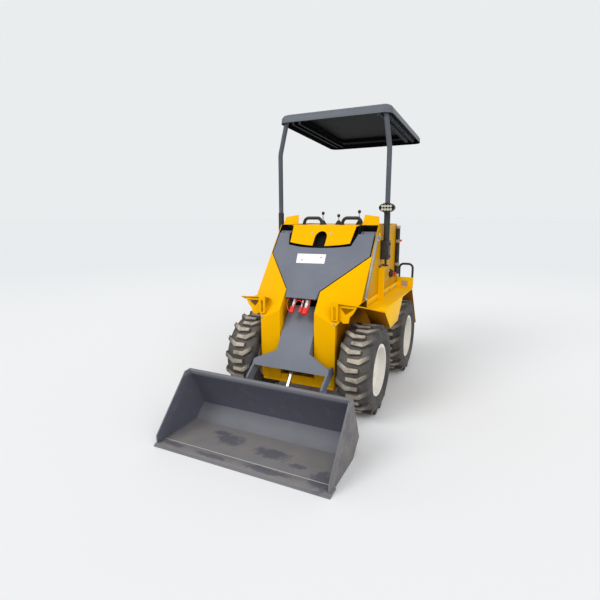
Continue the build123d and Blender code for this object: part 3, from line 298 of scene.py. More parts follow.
def earth_film(tree, place):
    """Dried earth on the bucket's floor and on the outside of its ends."""
    x, _, z = split_axes(tree, place)
    _, _, normal_z = surface_normal(tree)
    patchy = ramp(tree, noise(tree, place, 11.0, 8.0, 0.7), 0.36, 0.60, 0.35, 0.95)
    floor = product(tree, above(tree, normal_z, 0.9), ramp(tree, z, 0.120, 0.060))
    outside = product(tree, above(tree, size_of(tree, x), BUCKET_END_X), below(tree, normal_z, 0.5))
    return product(tree, patchy, math_node(tree, "MAXIMUM", floor, outside))


def smears_and_shadow(tree, place):
    """Dark smears on the bucket's floor and cutting edge, and one painted shadow cast by the bucket's left
    end.
    """
    ragged = ramp(tree, noise(tree, place, 26.0, 8.0, 0.7), 0.25, 0.75, -0.55, 0.55)
    covered = 0.0
    for x, y, reach_x, reach_y in SMEARS_AND_SHADOW:
        moved = node(tree, "ShaderNodeMapping")
        moved.inputs["Scale"].default_value = (1 / reach_x, 1 / reach_y, 0.0)
        moved.inputs["Location"].default_value = (-x / reach_x, -y / reach_y, 0.0)
        tree.links.new(place, moved.inputs["Vector"])
        away = node(tree, "ShaderNodeVectorMath", operation="LENGTH")
        tree.links.new(moved.outputs["Vector"], away.inputs[0])
        uneven = math_node(tree, "ADD", away.outputs["Value"], ragged)
        covered = math_node(tree, "MAXIMUM", ramp(tree, uneven, 1.0, 0.60, 0.0, 0.7), covered)
    _, _, z = split_axes(tree, place)
    return product(tree, covered, ramp(tree, z, 0.050, 0.030))


def edge_back(tree, place):
    """The bright strip where the floor meets the cutting edge's back."""
    _, y, _ = split_axes(tree, place)
    return ramp(tree, y, EDGE_BACK_Y - 0.0085, EDGE_BACK_Y - 0.0070)


# The record's materials, and the variants that single pieces wear
YELLOW = (0.90, 0.450, 0.0010)
# The tower's plates get a darker copy of the body yellow, as painted shade
TOWER_SHADED_YELLOW = (0.60, 0.300, 0.001)
# The side pods get a brighter copy of the body yellow, as painted light
POD_LIT_YELLOW = (1.0, 0.56, 0.0005)
GREY = (0.150, 0.166, 0.204)
ROOF_GREY = (0.112, 0.123, 0.145)
# Near-black painted shade under the roof
ROOF_UNDER_SHADE = (0.003, 0.003, 0.004)
BUCKET_GREY = (0.170, 0.174, 0.192)
# Painted shade on the bucket's inner walls
WALL_SHADE_GREY = (0.107, 0.110, 0.140)
BRIGHT_STEEL = (0.50, 0.49, 0.49)
EARTH = (0.228, 0.212, 0.204)
# Dark smears, and one painted shadow, on the bucket's floor and edge
SMEAR_AND_SHADOW = (0.082, 0.085, 0.112)
# Brown painted shade in the wheel wells and on undersides
WELL_SHADE_BROWN = (0.260, 0.082, 0.004)
TYRE_BLACK = (0.034, 0.034, 0.038)
TYRE_DUST = (0.50, 0.438, 0.352)
yellow_look = {
    "roughness": 0.36, "dust": (0.62, 0.36, 0.04), "dust_amount": 0.10, "wear": (0.30, 0.15, 0.01),
    "wear_amount": 0.5, "specular": 0.06, "tint": (1.0, 0.62, 0.06), "variation": 0.03,
}
grey_look = {
    "roughness": 0.46, "dust": (0.27, 0.26, 0.25), "dust_amount": 0.22, "wear": (0.30, 0.31, 0.33),
    "specular": 0.25,
}
rim_look = {
    "roughness": 0.42, "dust": (0.50, 0.44, 0.35), "dust_amount": 0.35, "wear": (0.35, 0.25, 0.18),
    "specular": 0.3,
}
black_look = {"dust_amount": 0.04, "wear": (0.16, 0.16, 0.16)}
plastic_look = {"dust_amount": 0.12, "wear_amount": 0.15}
label_look = {"dust_amount": 0.1, "wear_amount": 0.1}
surfaces = {
    "body_paint": paint("body_paint_mat", YELLOW, **yellow_look),
    "grey_paint": paint("grey_paint_mat", GREY, **grey_look),
    "black_paint": paint("black_paint_mat", (0.018, 0.018, 0.02), 0.38, **black_look),
    "black_plastic": paint("black_plastic_mat", (0.02, 0.02, 0.021), 0.55, **plastic_look),
    "red_plastic": paint("red_plastic_mat", (0.76, 0.018, 0.009), 0.32, dust_amount=0.1, specular=0.5),
    "plain_steel": metal("plain_steel_mat", (0.62, 0.61, 0.60), 0.38),
    "zinc_steel": metal("zinc_steel_mat", (0.56, 0.55, 0.51), 0.48),
    "chrome_rod": metal("chrome_rod_mat", (0.66, 0.66, 0.67), 0.18, 200.0),
    "cast_metal": paint("cast_metal_mat", (0.045, 0.045, 0.048), 0.6, peel=0.002),
    "wheel_paint": paint("wheel_paint_mat", (0.78, 0.755, 0.695), **rim_look),
    "tyre_rubber": rubber("tyre_rubber_mat", TYRE_BLACK, TYRE_DUST),
}
# Painted shade layers, and the bucket's dirt, smears and one painted shadow
well_shade_layer = (wheel_well_shade_mask, WELL_SHADE_BROWN)
slot_and_well_shade = (well_shade_layer, (slot_shade_mask, SHADE_BLACK))
roof_shade_layers = ((roof_underside_shade, ROOF_UNDER_SHADE),)
smeared_and_shaded = (smears_and_shadow, SMEAR_AND_SHADOW)
bucket_shade_and_dirt = ((bucket_wall_shade, WALL_SHADE_GREY), (earth_film, EARTH), smeared_and_shaded)
edge_dirt_wear_and_shadow = ((earth_film, EARTH), smeared_and_shaded, (edge_back, BRIGHT_STEEL))
slot_and_well_shaded_yellow = paint("slot_and_well_shaded_paint_mat", YELLOW, layers=slot_and_well_shade, **yellow_look)
tower_shaded_yellow = paint("tower_shaded_paint_mat", TOWER_SHADED_YELLOW, layers=slot_and_well_shade, **yellow_look)
well_shaded_yellow = paint("well_shaded_paint_mat", YELLOW, layers=(well_shade_layer,), **yellow_look)
pod_lit_and_shaded_yellow = paint("pod_lit_shaded_paint_mat", POD_LIT_YELLOW, layers=(well_shade_layer,), **yellow_look)
roof_paint = paint("roof_paint_mat", ROOF_GREY, layers=roof_shade_layers, **grey_look)
post_paint = paint("post_paint_mat", (0.078, 0.086, 0.104), **grey_look)
clamp_paint = paint("clamp_paint_mat", (0.040, 0.042, 0.047), **grey_look)
bucket_paint = paint("bucket_paint_mat", BUCKET_GREY, layers=bucket_shade_and_dirt, **grey_look)
edge_paint = paint("edge_paint_mat", (0.148, 0.148, 0.168), layers=edge_dirt_wear_and_shadow, **grey_look)
prop_steel = metal("prop_steel_mat", (0.40, 0.375, 0.315), 0.58)
plate_white = paint("plate_white_mat", (0.86, 0.87, 0.88), 0.3, **label_look)
label_grey = paint("label_grey_mat", (0.45, 0.39, 0.31), 0.4, **label_look)
label_pink = paint("label_pink_mat", (0.88, 0.47, 0.16), 0.4, **label_look)
strip_lime = paint("strip_lime_mat", (0.70, 0.66, 0.02), 0.3, **label_look)
# A near-black sheet material that stands in for shade behind openings
shade_sheet_black = paint("shade_sheet_black_mat", SHADE_BLACK, 0.8, dust_amount=0.05, wear_amount=0.0, specular=0.1)
special = {
    "chassis_frame": slot_and_well_shaded_yellow,
    "tower_plates": tower_shaded_yellow,
    "front_fenders": well_shaded_yellow,
    "front_panels": well_shaded_yellow,
    "side_pods": pod_lit_and_shaded_yellow,
    "rear_guards": well_shaded_yellow,
    "canopy_roof": roof_paint,
    "canopy_posts": post_paint,
    "post_clamps": clamp_paint,
    "bucket": bucket_paint,
    "cutting_edge": edge_paint,
    "arm_prop": prop_steel,
}


# Softened edges on the frame's own nodes, and smooth shading up to an angle
def soften_group(angle):
    group = bpy.data.node_groups.new("soften", "GeometryNodeTree")
    group.interface.new_socket("Geometry", in_out="INPUT", socket_type="NodeSocketGeometry")
    group.interface.new_socket("Geometry", in_out="OUTPUT", socket_type="NodeSocketGeometry")
    start = node(group, "NodeGroupInput")
    plain = node(group, "GeometryNodeRemoveAttribute")
    plain.inputs["Name"].default_value = "custom_normal"
    whole = node(group, "GeometryNodeSetShadeSmooth", domain="FACE")
    sharp = node(group, "GeometryNodeSetShadeSmooth", domain="EDGE")
    fold = node(group, "GeometryNodeInputMeshEdgeAngle")
    gentle = node(group, "FunctionNodeCompare", data_type="FLOAT", operation="LESS_THAN")
    gentle.inputs["B"].default_value = math.radians(angle)
    end = node(group, "NodeGroupOutput")
    whole.inputs["Shade Smooth"].default_value = True
    group.links.new(start.outputs[0], plain.inputs["Geometry"])
    group.links.new(plain.outputs["Geometry"], whole.inputs[0])
    group.links.new(whole.outputs[0], sharp.inputs[0])
    group.links.new(fold.outputs["Unsigned Angle"], gentle.inputs["A"])
    group.links.new(gentle.outputs["Result"], sharp.inputs["Shade Smooth"])
    group.links.new(sharp.outputs[0], end.inputs[0])
    return group


SHADE_ANGLE = 35.0
WELD_WITHIN = 0.00002
soften = soften_group(SHADE_ANGLE)
bevelled = {
    "front_panels": 0.0015, "tower_plates": 0.0012, "front_fenders": 0.0010, "side_pods": 0.0015,
    "rear_guards": 0.0012, "slot_covers": 0.0012, "arm_face": 0.0015, "bucket": 0.0015,
    "cutting_edge": 0.0015, "platform": 0.0010, "post_clamps": 0.0015, "arm_prop": 0.0015,
    "latch_handles": 0.0012, "engine_block": 0.0040,
}


def bevel_modifier(piece, width):
    bevel = piece.modifiers.new("bevel", "BEVEL")
    bevel.width = width
    bevel.segments = 2
    bevel.limit_method = "ANGLE"
    bevel.angle_limit = math.radians(SHADE_ANGLE)
    bevel.use_clamp_overlap = False


for name, piece in nodes.items():
    piece.data.materials.clear()
    piece.data.materials.append(special.get(name, surfaces[slot_of[name]]))
    weld = piece.modifiers.new("weld", "WELD")
    weld.merge_threshold = WELD_WITHIN
    if name in bevelled:
        bevel_modifier(piece, bevelled[name])
    piece.modifiers.new("soften", "NODES").node_group = soften


def turns(count, start=0.0):
    """Angles that share a full turn equally."""
    return [start + math.tau * place / count for place in range(count)]


class Shape:
    """A mesh gathered from simple forms, each with its own material."""

    def __init__(self):
        self.mesh = bmesh.new()
        self.dusty = self.mesh.faces.layers.float.new("dusty")
        self.materials = []

    def face(self, corners, material, dusty=0.0):
        if material not in self.materials:
            self.materials.append(material)
        made = self.mesh.faces.new(corners)
        made.material_index = self.materials.index(material)
        made[self.dusty] = dusty
        return made

    def loops(self, rings, material, close_ends=True, dusty=0.0):
        """Skin between closed rings of points, with flat ends."""
        rows = [[self.mesh.verts.new(point) for point in ring] for ring in rings]
        for lower, upper in zip(rows, rows[1:]):
            for place in range(len(lower)):
                after = (place + 1) % len(lower)
                self.face((lower[place], lower[after], upper[after], upper[place]), material, dusty)
        if close_ends:
            self.face(list(reversed(rows[0])), material, dusty)
            self.face(rows[-1], material, dusty)

    def lathe(self, profile, origin, axis, material, segments=24):
        """Turn a profile of (radius, distance along the axis) points round the axis."""
        turn = Vector(axis).to_track_quat("Z", "Y").to_matrix()
        rings = []
        for radius, along in profile:
            rings.append([
                Vector(origin) + turn @ Vector((radius * math.cos(a), radius * math.sin(a), along))
                for a in turns(segments)
            ])
        self.loops(rings, material)

    def block(self, outline, origin, across, upward, depth, material):
        """A plate from an outline of (across, upward) points, made thick against its own front."""
        across, upward = Vector(across).normalized(), Vector(upward).normalized()
        front = across.cross(upward)
        near = [Vector(origin) + across * a + upward * b for a, b in outline]
        self.loops([[point - front * depth for point in near], near], material)

    def tube(self, points, radius, material, segments=10):
        """A round bar along a row of points."""
        points = [Vector(point) for point in points]
        rings = []
        side = None
        for place, point in enumerate(points):
            before = points[max(place - 1, 0)]
            after = points[min(place + 1, len(points) - 1)]
            along = (after - before).normalized()
            if side is None:
                side = along.orthogonal().normalized()
            side = (side - along * side.dot(along)).normalized()
            other = along.cross(side)
            rings.append([
                point + (side * math.cos(a) + other * math.sin(a)) * radius
                for a in turns(segments)
            ])
        self.loops(rings, material)

    def piece(self, name, body, slot, bevel=0.0, replaced=()):
        """Make the object and put it on its body; the slot argument is not used."""
        bmesh.ops.recalc_face_normals(self.mesh, faces=self.mesh.faces)
        mesh = bpy.data.meshes.new(name)
        self.mesh.to_mesh(mesh)
        self.mesh.free()
        for material in self.materials:
            mesh.materials.append(material)
        mesh.polygons.foreach_set("use_smooth", [True] * len(mesh.polygons))
        mesh.set_sharp_from_angle(angle=math.radians(SHADE_ANGLE))
        made = bpy.data.objects.new(name, mesh)
        bpy.context.collection.objects.link(made)
        if bevel:
            bevel_modifier(made, bevel)
        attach(made, body)
        if replaced:
            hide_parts(*replaced)
        return made


def smooth_path(points, steps=8):
    """A rounded line through a few points."""
    points = [Vector(point) for point in points]
    line = []
    for place in range(len(points) - 1):
        start, end = points[place:place + 2]
        before = points[max(place - 1, 0)]
        after = points[min(place + 2, len(points) - 1)]
        for step in range(steps):
            t = step / steps
            square = 2 * before - 5 * start + 4 * end - after
            cube = 3 * start - before - 3 * end + after
            line.append(0.5 * (2 * start + (end - before) * t + square * t**2 + cube * t**3))
    line.append(points[-1])
    return line


SIDES = (-1, 1)
ACROSS = (1, 0, 0)
UPWARD = (0, 0, 1)
FORWARD = (0, -1, 0)
BOLT_PROFILE = (
    # radius and distance along, both as shares of the head's radius
    (0.0, -0.6), (1.55, -0.6), (1.55, 0.22), (1.15, 0.24), (1.0, 0.28), (1.0, 0.85), (0.8, 1.02), (0.0, 1.04),
)
zinc = surfaces["zinc_steel"]
plastic = surfaces["black_plastic"]
red = surfaces["red_plastic"]
tread = surfaces["tyre_rubber"]


def bolt(shape, place, direction, radius, material=zinc):
    """A bolt's head on its washer, the washer sunk a little into what it holds."""
    washer = [(r * radius, along * radius) for r, along in BOLT_PROFILE[:4]]
    shape.lathe(washer, place, direction, material, 20)
    head = [(r * radius, along * radius) for r, along in BOLT_PROFILE[3:]]
    shape.lathe(head, place, direction, material, 6)


def rectangle(left, right, low, high):
    return ((left, low), (right, low), (right, high), (left, high))


def disc(radius, wall, top_radius, height):
    """The profile of a disc with a chamfered top."""
    return ((0.0, 0.0), (radius, 0.0), (radius, wall), (top_radius, height), (0.0, height))


# Sloping front: a plane that leans back as it rises
SLOPE = 0.79
FACE_AT = (-0.375, 0.790)
HOOD_AT = (-0.108, 1.078)
slope_out = Vector((0.0, -1.0, SLOPE)).normalized()
slope_up = Vector((0.0, SLOPE, 1.0)).normalized()


def on_slope(x, z, at, proud=0.0):
    """The point at x and z on the slope through at, moved outwards by proud."""
    return Vector((x, at[0] + SLOPE * (z - at[1]), z)) + slope_out * proud


# Fasteners of the body: hood, pods, tower, post clamps, front panels and prop
HOOD_BOLT_X, HOOD_BOLT_Z = 0.070, 1.139
POD_FLANGE_X = 0.3813
POD_BOLTS_Y = (0.224, 0.388, 0.544)
POD_BOLTS_Z = 0.700
TOWER_X = 0.376
TOWER_BOLTS = ((-0.081, 0.950), (0.330, 1.120), (0.330, 0.900), (0.480, 1.150))
POST_X = 0.411
POST_Y = 0.116
CLAMP_OUTER_X = 0.435
CLAMP_BOLTS_Z = (0.982, 1.066)
PANEL_BOLT_X, PANEL_FRONT_Y, PANEL_BOLT_Z = 0.252, -0.468, 0.606
LARGE_HEAD = 0.0075
SMALL_HEAD = 0.0065
HOOD_HEAD = 0.0058
PANEL_HEAD = 0.0045
PROP_BOLT_X = 0.3923
PROP_BOLTS = ((-0.262, 0.741, LARGE_HEAD), (-0.030, 1.098, SMALL_HEAD))
shape = Shape()
for side in SIDES:
    outward = (side, 0, 0)
    bolt(shape, on_slope(side * HOOD_BOLT_X, HOOD_BOLT_Z, HOOD_AT), slope_out, HOOD_HEAD)
    for y in POD_BOLTS_Y:
        bolt(shape, (side * POD_FLANGE_X, y, POD_BOLTS_Z), outward, LARGE_HEAD)
    for y, z in TOWER_BOLTS:
        bolt(shape, (side * TOWER_X, y, z), outward, SMALL_HEAD)
    for z in CLAMP_BOLTS_Z:
        bolt(shape, (side * CLAMP_OUTER_X, POST_Y, z), outward, LARGE_HEAD, plastic)
    bolt(shape, (side * PANEL_BOLT_X, PANEL_FRONT_Y, PANEL_BOLT_Z), FORWARD, PANEL_HEAD)
for y, z, radius in PROP_BOLTS:
    bolt(shape, (PROP_BOLT_X, y, z), ACROSS, radius)
shape.piece("body_bolts", "root", "zinc_steel")

# Retaining plates over the ends of the arm's pivot pins
PIVOT_Y, PIVOT_Z = 0.045, 1.120
PIVOT_CAP_X = 0.3795
PIVOT_CAP_HIGH = 0.007
PIVOT_HEAD = 0.0070
shape = Shape()
for side in SIDES:
    outward = (side, 0, 0)
    cap = disc(0.027, 0.005, 0.024, PIVOT_CAP_HIGH)
    shape.lathe(cap, (side * PIVOT_CAP_X, PIVOT_Y, PIVOT_Z), outward, surfaces["body_paint"], 32)
    bolt(shape, (side * (PIVOT_CAP_X + PIVOT_CAP_HIGH), PIVOT_Y, PIVOT_Z), outward, PIVOT_HEAD)
shape.piece("pivot_caps", "root", "body_paint")

# Blank white plate on the arm's face, with two rivets
PLATE_LOW_Z, PLATE_HIGH_Z = 0.949, 1.009
PLATE_THICK = 0.002
PLATE_PROUD = 0.0016
RIVET_PROUD = 0.0015
RIVETS = ((-0.070, 0.968), (0.062, 0.988))
RIVET_PROFILE = ((0.0, 0.0), (0.005, 0.0), (0.0045, 0.0012), (0.0, 0.0022))
shape = Shape()
lift = (PLATE_HIGH_Z - PLATE_LOW_Z) / slope_up.z
plate_outline = ((-0.108, 0.0), (0.096, 0.004), (0.092, lift), (-0.117, lift - 0.002))
plate_foot = on_slope(0.0, PLATE_LOW_Z, FACE_AT, PLATE_PROUD)
shape.block(plate_outline, plate_foot, ACROSS, slope_up, PLATE_THICK, plate_white)
for x, z in RIVETS:
    rivet_at = on_slope(x, z, FACE_AT, RIVET_PROUD)
    shape.lathe(RIVET_PROFILE, rivet_at, slope_out, surfaces["black_paint"], 16)
shape.piece("face_plate", "lift_arm", "wheel_paint", bevel=0.0004)

# Blank labels on the left pod's rear plate and the bright strip at the foot of the left front panel
LABEL_IN_X, LABEL_OUT_X = 0.410, 0.462
LABEL_AT = (0, 0.6635, 0)
LABEL_THICK = 0.0006
label_table = (
    # low, high, material
    (0.690, 0.733, label_grey),
    (0.6785, 0.6875, label_pink),
)
STRIP_AT = (0, -0.4690, 0)
STRIP_THICK = 0.0012
shape = Shape()
for low, high, material in label_table:
    label_outline = rectangle(LABEL_IN_X, LABEL_OUT_X, low, high)
    shape.block(label_outline, LABEL_AT, ACROSS, UPWARD, LABEL_THICK, material)
strip_outline = ((0.224, 0.210), (0.238, 0.210), (0.243, 0.300), (0.232, 0.300))
shape.block(strip_outline, STRIP_AT, ACROSS, UPWARD, STRIP_THICK, strip_lime)
shape.piece("labels", "root", "wheel_paint")

# Inner ends of the pods' rear plates, which reach in behind the tower
POD_PLATE_AT = (0, 0.6640, 0)
POD_PLATE_IN_X, POD_PLATE_OUT_X = 0.262, 0.3758
POD_PLATE_LOW_Z, POD_PLATE_HIGH_Z = 0.700, 0.762
POD_PLATE_THICK = 0.004
shape = Shape()
for side in SIDES:
    left, right = sorted((side * POD_PLATE_IN_X, side * POD_PLATE_OUT_X))
    plate_end = rectangle(left, right, POD_PLATE_LOW_Z, POD_PLATE_HIGH_Z)
    shape.block(plate_end, POD_PLATE_AT, ACROSS, UPWARD, POD_PLATE_THICK, surfaces["body_paint"])
shape.piece("pod_plate_ends", "root", "body_paint")

# Near-black sheets behind the hood's arch and the notch, and behind the couplers: painted shade in these
# recesses
SHADE_SHEET_BACK = 0.046
SHADE_SHEET_THICK = 0.002
HOOD_SHADE_HALF = 0.234
HOOD_SHADE_LOW_Z, HOOD_SHADE_HIGH_Z = 1.000, 1.178
COUPLER_SHADE_HALF = 0.104
COUPLER_SHADE_HIGH = 0.150
COUPLER_SHADE_FOOT = (0.0, -0.306, 0.640)
COUPLER_SHADE_LEAN = (0, 0.35, 1)
shape = Shape()
hood_foot = on_slope(0.0, HOOD_SHADE_LOW_Z, HOOD_AT, -SHADE_SHEET_BACK)
hood_head = on_slope(0.0, HOOD_SHADE_HIGH_Z, HOOD_AT, -SHADE_SHEET_BACK)
hood_sheet = rectangle(-HOOD_SHADE_HALF, HOOD_SHADE_HALF, 0.0, (hood_head - hood_foot).length)
shape.block(hood_sheet, hood_foot, ACROSS, slope_up, SHADE_SHEET_THICK, shade_sheet_black)
shape.piece("hood_shade_sheet", "root", "black_plastic")
shape = Shape()
coupler_sheet = rectangle(-COUPLER_SHADE_HALF, COUPLER_SHADE_HALF, 0.0, COUPLER_SHADE_HIGH)
shape.block(coupler_sheet, COUPLER_SHADE_FOOT, ACROSS, COUPLER_SHADE_LEAN, SHADE_SHEET_THICK, shade_sheet_black)
shape.piece("coupler_shade_sheet", "lift_arm", "black_plastic")

# Couplers with collars, red caps with grip ribs, and the moulded straps between them
COUPLER_PLATE_Z = 0.765
FACE_SHEET = 0.010
COUPLER_DEEP = 0.022
COUPLER_DOWN = 0.0083
CAP_GAP = 0.0003
STRAP_RADIUS = 0.0026
COLLAR_HALF = 0.003
coupler_table = (
    # across, steel radius, cap radius, steel length, cap length
    (-0.048, 0.012, 0.016, 0.078, 0.042),
    (0.011, 0.008, 0.012, 0.074, 0.038),
    (0.044, 0.016, 0.020, 0.080, 0.044),
)
strap_paths = (
    # across, down and forward, as coupler_point takes them
    ((-0.060, 0.122, 0.010), (-0.078, 0.100, 0.014), (-0.092, 0.055, 0.016), (-0.080, 0.012, 0.014),
     (-0.056, 0.008, 0.014), (-0.046, 0.020, 0.013)),
    ((-0.036, 0.112, 0.014), (-0.026, 0.062, 0.022), (-0.008, 0.046, 0.024), (0.014, 0.056, 0.022),
     (0.024, 0.070, 0.016)),
    ((0.058, 0.125, 0.012), (0.070, 0.085, 0.018), (0.066, 0.040, 0.018), (0.050, 0.016, 0.018),
     (0.024, 0.030, 0.014)),
)
strap_collars = (
    # across, down, radius
    (-0.048, 0.028, 0.0140),
    (0.011, 0.034, 0.0100),
    (0.044, 0.024, 0.0180),
)
slope_in = Vector((0.0, slope_up.z, -slope_up.y))
plate_edge_y = FACE_AT[0] + SLOPE * (COUPLER_PLATE_Z - FACE_AT[1]) + FACE_SHEET
plate_edge = Vector((0.0, plate_edge_y, COUPLER_PLATE_Z))


def coupler_point(across, down, forward=0.0):
    """A point across and down the slope from the coupler plate's edge, forward of the couplers' middles."""
    return plate_edge + Vector((across, 0.0, 0.0)) - slope_up * down + slope_in * (COUPLER_DEEP - forward)


def ribs(first, count, pitch, radius, groove_radius, ramp_run, end_run):
    """Grooves round a turned piece with ribs between them, as profile points."""
    points = []
    for place in range(count):
        low = first + place * pitch
        groove_end = end_run - ramp_run
        points += [(radius, low), (groove_radius, low + ramp_run), (groove_radius, low + groove_end),
                   (radius, low + end_run)]
    return points


shape = Shape()
caps = Shape()
for across, r, cap_r, steel_length, cap_length in coupler_table:
    profile = [(0.0, 0.0), (r * 0.95, 0.0), (r * 0.95, 0.008)]
    profile += [(r * 0.72, 0.010), (r * 0.72, 0.020), (r, 0.022)]
    profile += ribs(0.024, 5, 0.005, r, r * 0.9, 0.0012, 0.0036)
    profile += [(r, steel_length - 0.012), (r * 0.8, steel_length - 0.010), (r * 0.8, steel_length)]
    profile += [(0.0, steel_length)]
    shape.lathe(profile, coupler_point(across, COUPLER_DOWN), -slope_up, surfaces["plain_steel"], 28)
    cap_profile = [(0.0, 0.0), (cap_r * 0.9, 0.0), (cap_r, 0.002)]
    cap_profile += ribs(0.006, 4, 0.006, cap_r, cap_r * 0.93, 0.001, 0.004)
    cap_profile += [(cap_r, cap_length - 0.003), (cap_r * 0.85, cap_length), (0.0, cap_length)]
    cap_down = COUPLER_DOWN + CAP_GAP + steel_length
    caps.lathe(cap_profile, coupler_point(across, cap_down), -slope_up, red, 28)
shape.piece("coupler_bodies", "lift_arm", "plain_steel", replaced=("couplers",))
caps.piece("coupler_cap_covers", "lift_arm", "red_plastic", replaced=("coupler_caps",))
shape = Shape()
for path in strap_paths:
    shape.tube(smooth_path([coupler_point(*point) for point in path]), STRAP_RADIUS, red)
for across, down, radius in strap_collars:
    inner = radius * 0.80
    collar = ((inner, -COLLAR_HALF), (radius, -COLLAR_HALF), (radius, COLLAR_HALF), (inner, COLLAR_HALF))
    shape.lathe(collar, coupler_point(across, down), -slope_up, red, 28)
shape.piece("cap_straps", "lift_arm", "red_plastic")

# Work lamp: eight bright cups on an amber plate, in a rounded body with a foot
LAMP = Vector((0.417, 0.0987, 1.312))
LAMP_FRONT_Y = LAMP.y - 0.0335
AMBER_HALF_X, AMBER_HALF_Z = 0.0455, 0.0240
AMBER_BACK = 0.0025
AMBER_THICK = 0.0015
CUP_BACK = 0.0032
LAMP_FOOT_DEEP = 0.012
CUPS_X = (-0.0285, -0.0095, 0.0095, 0.0285)
CUPS_Z = (-0.011, 0.011)
CUP_PROFILE = (
    (0.0, 0.0030), (0.0030, 0.0026), (0.0036, 0.0008), (0.0078, 0.0048), (0.0090, 0.0048), (0.0090, 0.0),
)
RIM_HALF_X, RIM_HALF_Z = 0.053, 0.0315
RIM_STEPS = ((1.0, 0.0), (1.0, -0.0345), (0.965, -0.037), (0.90, -0.037), (0.87, -0.031))
cup_bright = paint("cup_bright_mat", (0.60, 0.58, 0.48), 0.25, dust_amount=0.0, wear_amount=0.0)
cup_amber = paint("cup_amber_mat", (0.62, 0.52, 0.24), 0.3, dust_amount=0.0, wear_amount=0.0)
shape = Shape()
amber_outline = [(AMBER_HALF_X * math.cos(a), AMBER_HALF_Z * math.sin(a)) for a in turns(40)]
amber_at = (LAMP.x, LAMP_FRONT_Y + AMBER_BACK, LAMP.z)
shape.block(amber_outline, amber_at, ACROSS, UPWARD, AMBER_THICK, cup_amber)
for z in CUPS_Z:
    for x in CUPS_X:
        cup_at = (LAMP.x + x, LAMP_FRONT_Y + CUP_BACK, LAMP.z + z)
        shape.lathe(CUP_PROFILE, cup_at, FORWARD, cup_bright, 20)
shape.piece("lamp_cups", "root", "plain_steel")
shape = Shape()
rim_rings = []
for scale, y in RIM_STEPS:
    rim_rings.append([
        (LAMP.x + RIM_HALF_X * scale * math.cos(a), LAMP.y + y, LAMP.z + RIM_HALF_Z * scale * math.sin(a))
        for a in turns(48)
    ])
shape.loops(rim_rings, plastic)
foot_at = (LAMP.x - 0.006, LAMP.y - 0.004, LAMP.z - 0.034)
shape.block(rectangle(-0.018, 0.018, -0.006, 0.006), foot_at, ACROSS, UPWARD, LAMP_FOOT_DEEP, plastic)
shape.piece("lamp_body", "root", "black_plastic", replaced=("work_lamp",))

# Fittings on the upright hose, the battery switch and its red key
HOSE = Vector((0.3923, 0.552, 0.0))
HOSE_CLAMPS_Z = (1.061, 0.880)
HOSE_ENDS_Z = (1.170, 0.792)
HOSE_CLAMP_DEEP = 0.028
HOSE_KNOB_Z = 1.066
NUT_PROFILE = (
    (0.0, -0.011), (0.0185, -0.011), (0.0195, -0.008), (0.0195, 0.008), (0.0185, 0.011), (0.0, 0.011),
)
shape = Shape()
for z in HOSE_CLAMPS_Z + HOSE_ENDS_Z:
    shape.lathe(NUT_PROFILE, (HOSE.x, HOSE.y, z), UPWARD, zinc, 6)
for z in HOSE_CLAMPS_Z:
    clamp_at = (HOSE.x, HOSE.y - 0.014, z)
    shape.block(rectangle(-0.010, 0.018, -0.012, 0.012), clamp_at, ACROSS, UPWARD, HOSE_CLAMP_DEEP, zinc)
shape.lathe(disc(0.008, 0.012, 0.006, 0.014), (HOSE.x + 0.018, HOSE.y, HOSE_KNOB_Z), ACROSS, red, 16)
shape.piece("hose_fittings", "root", "zinc_steel", bevel=0.0006)
SWITCH_X, SWITCH_Y, SWITCH_Z = 0.3763, 0.398, 0.824
SWITCH_PROFILE = ((0.0, 0.0), (0.033, 0.0), (0.033, 0.010), (0.027, 0.014), (0.024, 0.026), (0.0, 0.026))
KEY_OUTLINE = ((-0.006, -0.008), (0.030, -0.010), (0.030, 0.010), (-0.006, 0.008))
KEY_PROUD = 0.014
SWITCH_BOLTS_Y, SWITCH_BOLTS_Z = 0.030, 0.022
SWITCH_HEAD = 0.005
shape = Shape()
shape.lathe(SWITCH_PROFILE, (SWITCH_X, SWITCH_Y, SWITCH_Z), ACROSS, plastic, 32)
key_at = (SWITCH_X + 0.020, SWITCH_Y - 0.006, SWITCH_Z + 0.002)
shape.block(KEY_OUTLINE, key_at, ACROSS, UPWARD, -KEY_PROUD, red)
for y in (-SWITCH_BOLTS_Y, SWITCH_BOLTS_Y):
    for z in (-SWITCH_BOLTS_Z, SWITCH_BOLTS_Z):
        bolt(shape, (SWITCH_X, SWITCH_Y + y, SWITCH_Z + z), ACROSS, SWITCH_HEAD)
shape.piece("battery_switch", "root", "black_plastic", bevel=0.0008)

# Levers on the deck: ribbed boots, bright stems and ball knobs
LEVER_Y = 0.180
LEVER_SINK = 0.002
KNOB_HIGH = 0.0252
KNOB_RADIUS = 0.0122
KNOB_MIDDLE = 0.0130
KNOB_TURNS = (0.9, 1.25, 1.57, 1.9, 2.3, 2.7, 3.0)
STEM_RADIUS = 0.0048
STEM_SHORT = 0.026
lever_table = (
    # across, height over the deck
    (-0.090, 0.095),
    (0.034, 0.077),
    (0.192, 0.105),
)
deck_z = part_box("hood")[1][2]
boot = [(0.0, 0.0), (0.027, 0.0)]
for ring in range(4):
    low = 0.002 + ring * 0.0072
    radius = 0.0265 - ring * 0.0042
    boot += [(radius, low), (radius, low + 0.0030), (radius - 0.0036, low + 0.0048)]
    boot += [(radius - 0.0040, low + 0.0066)]
boot += [(0.0085, 0.0305), (0.0, 0.0310)]
knob = [(0.0, 0.0), (0.0062, 0.0), (0.0068, 0.0030)]
for a in KNOB_TURNS:
    knob.append((KNOB_RADIUS * math.sin(a), KNOB_MIDDLE - KNOB_RADIUS * math.cos(a)))
knob.append((0.0, KNOB_HIGH))
shape = Shape()
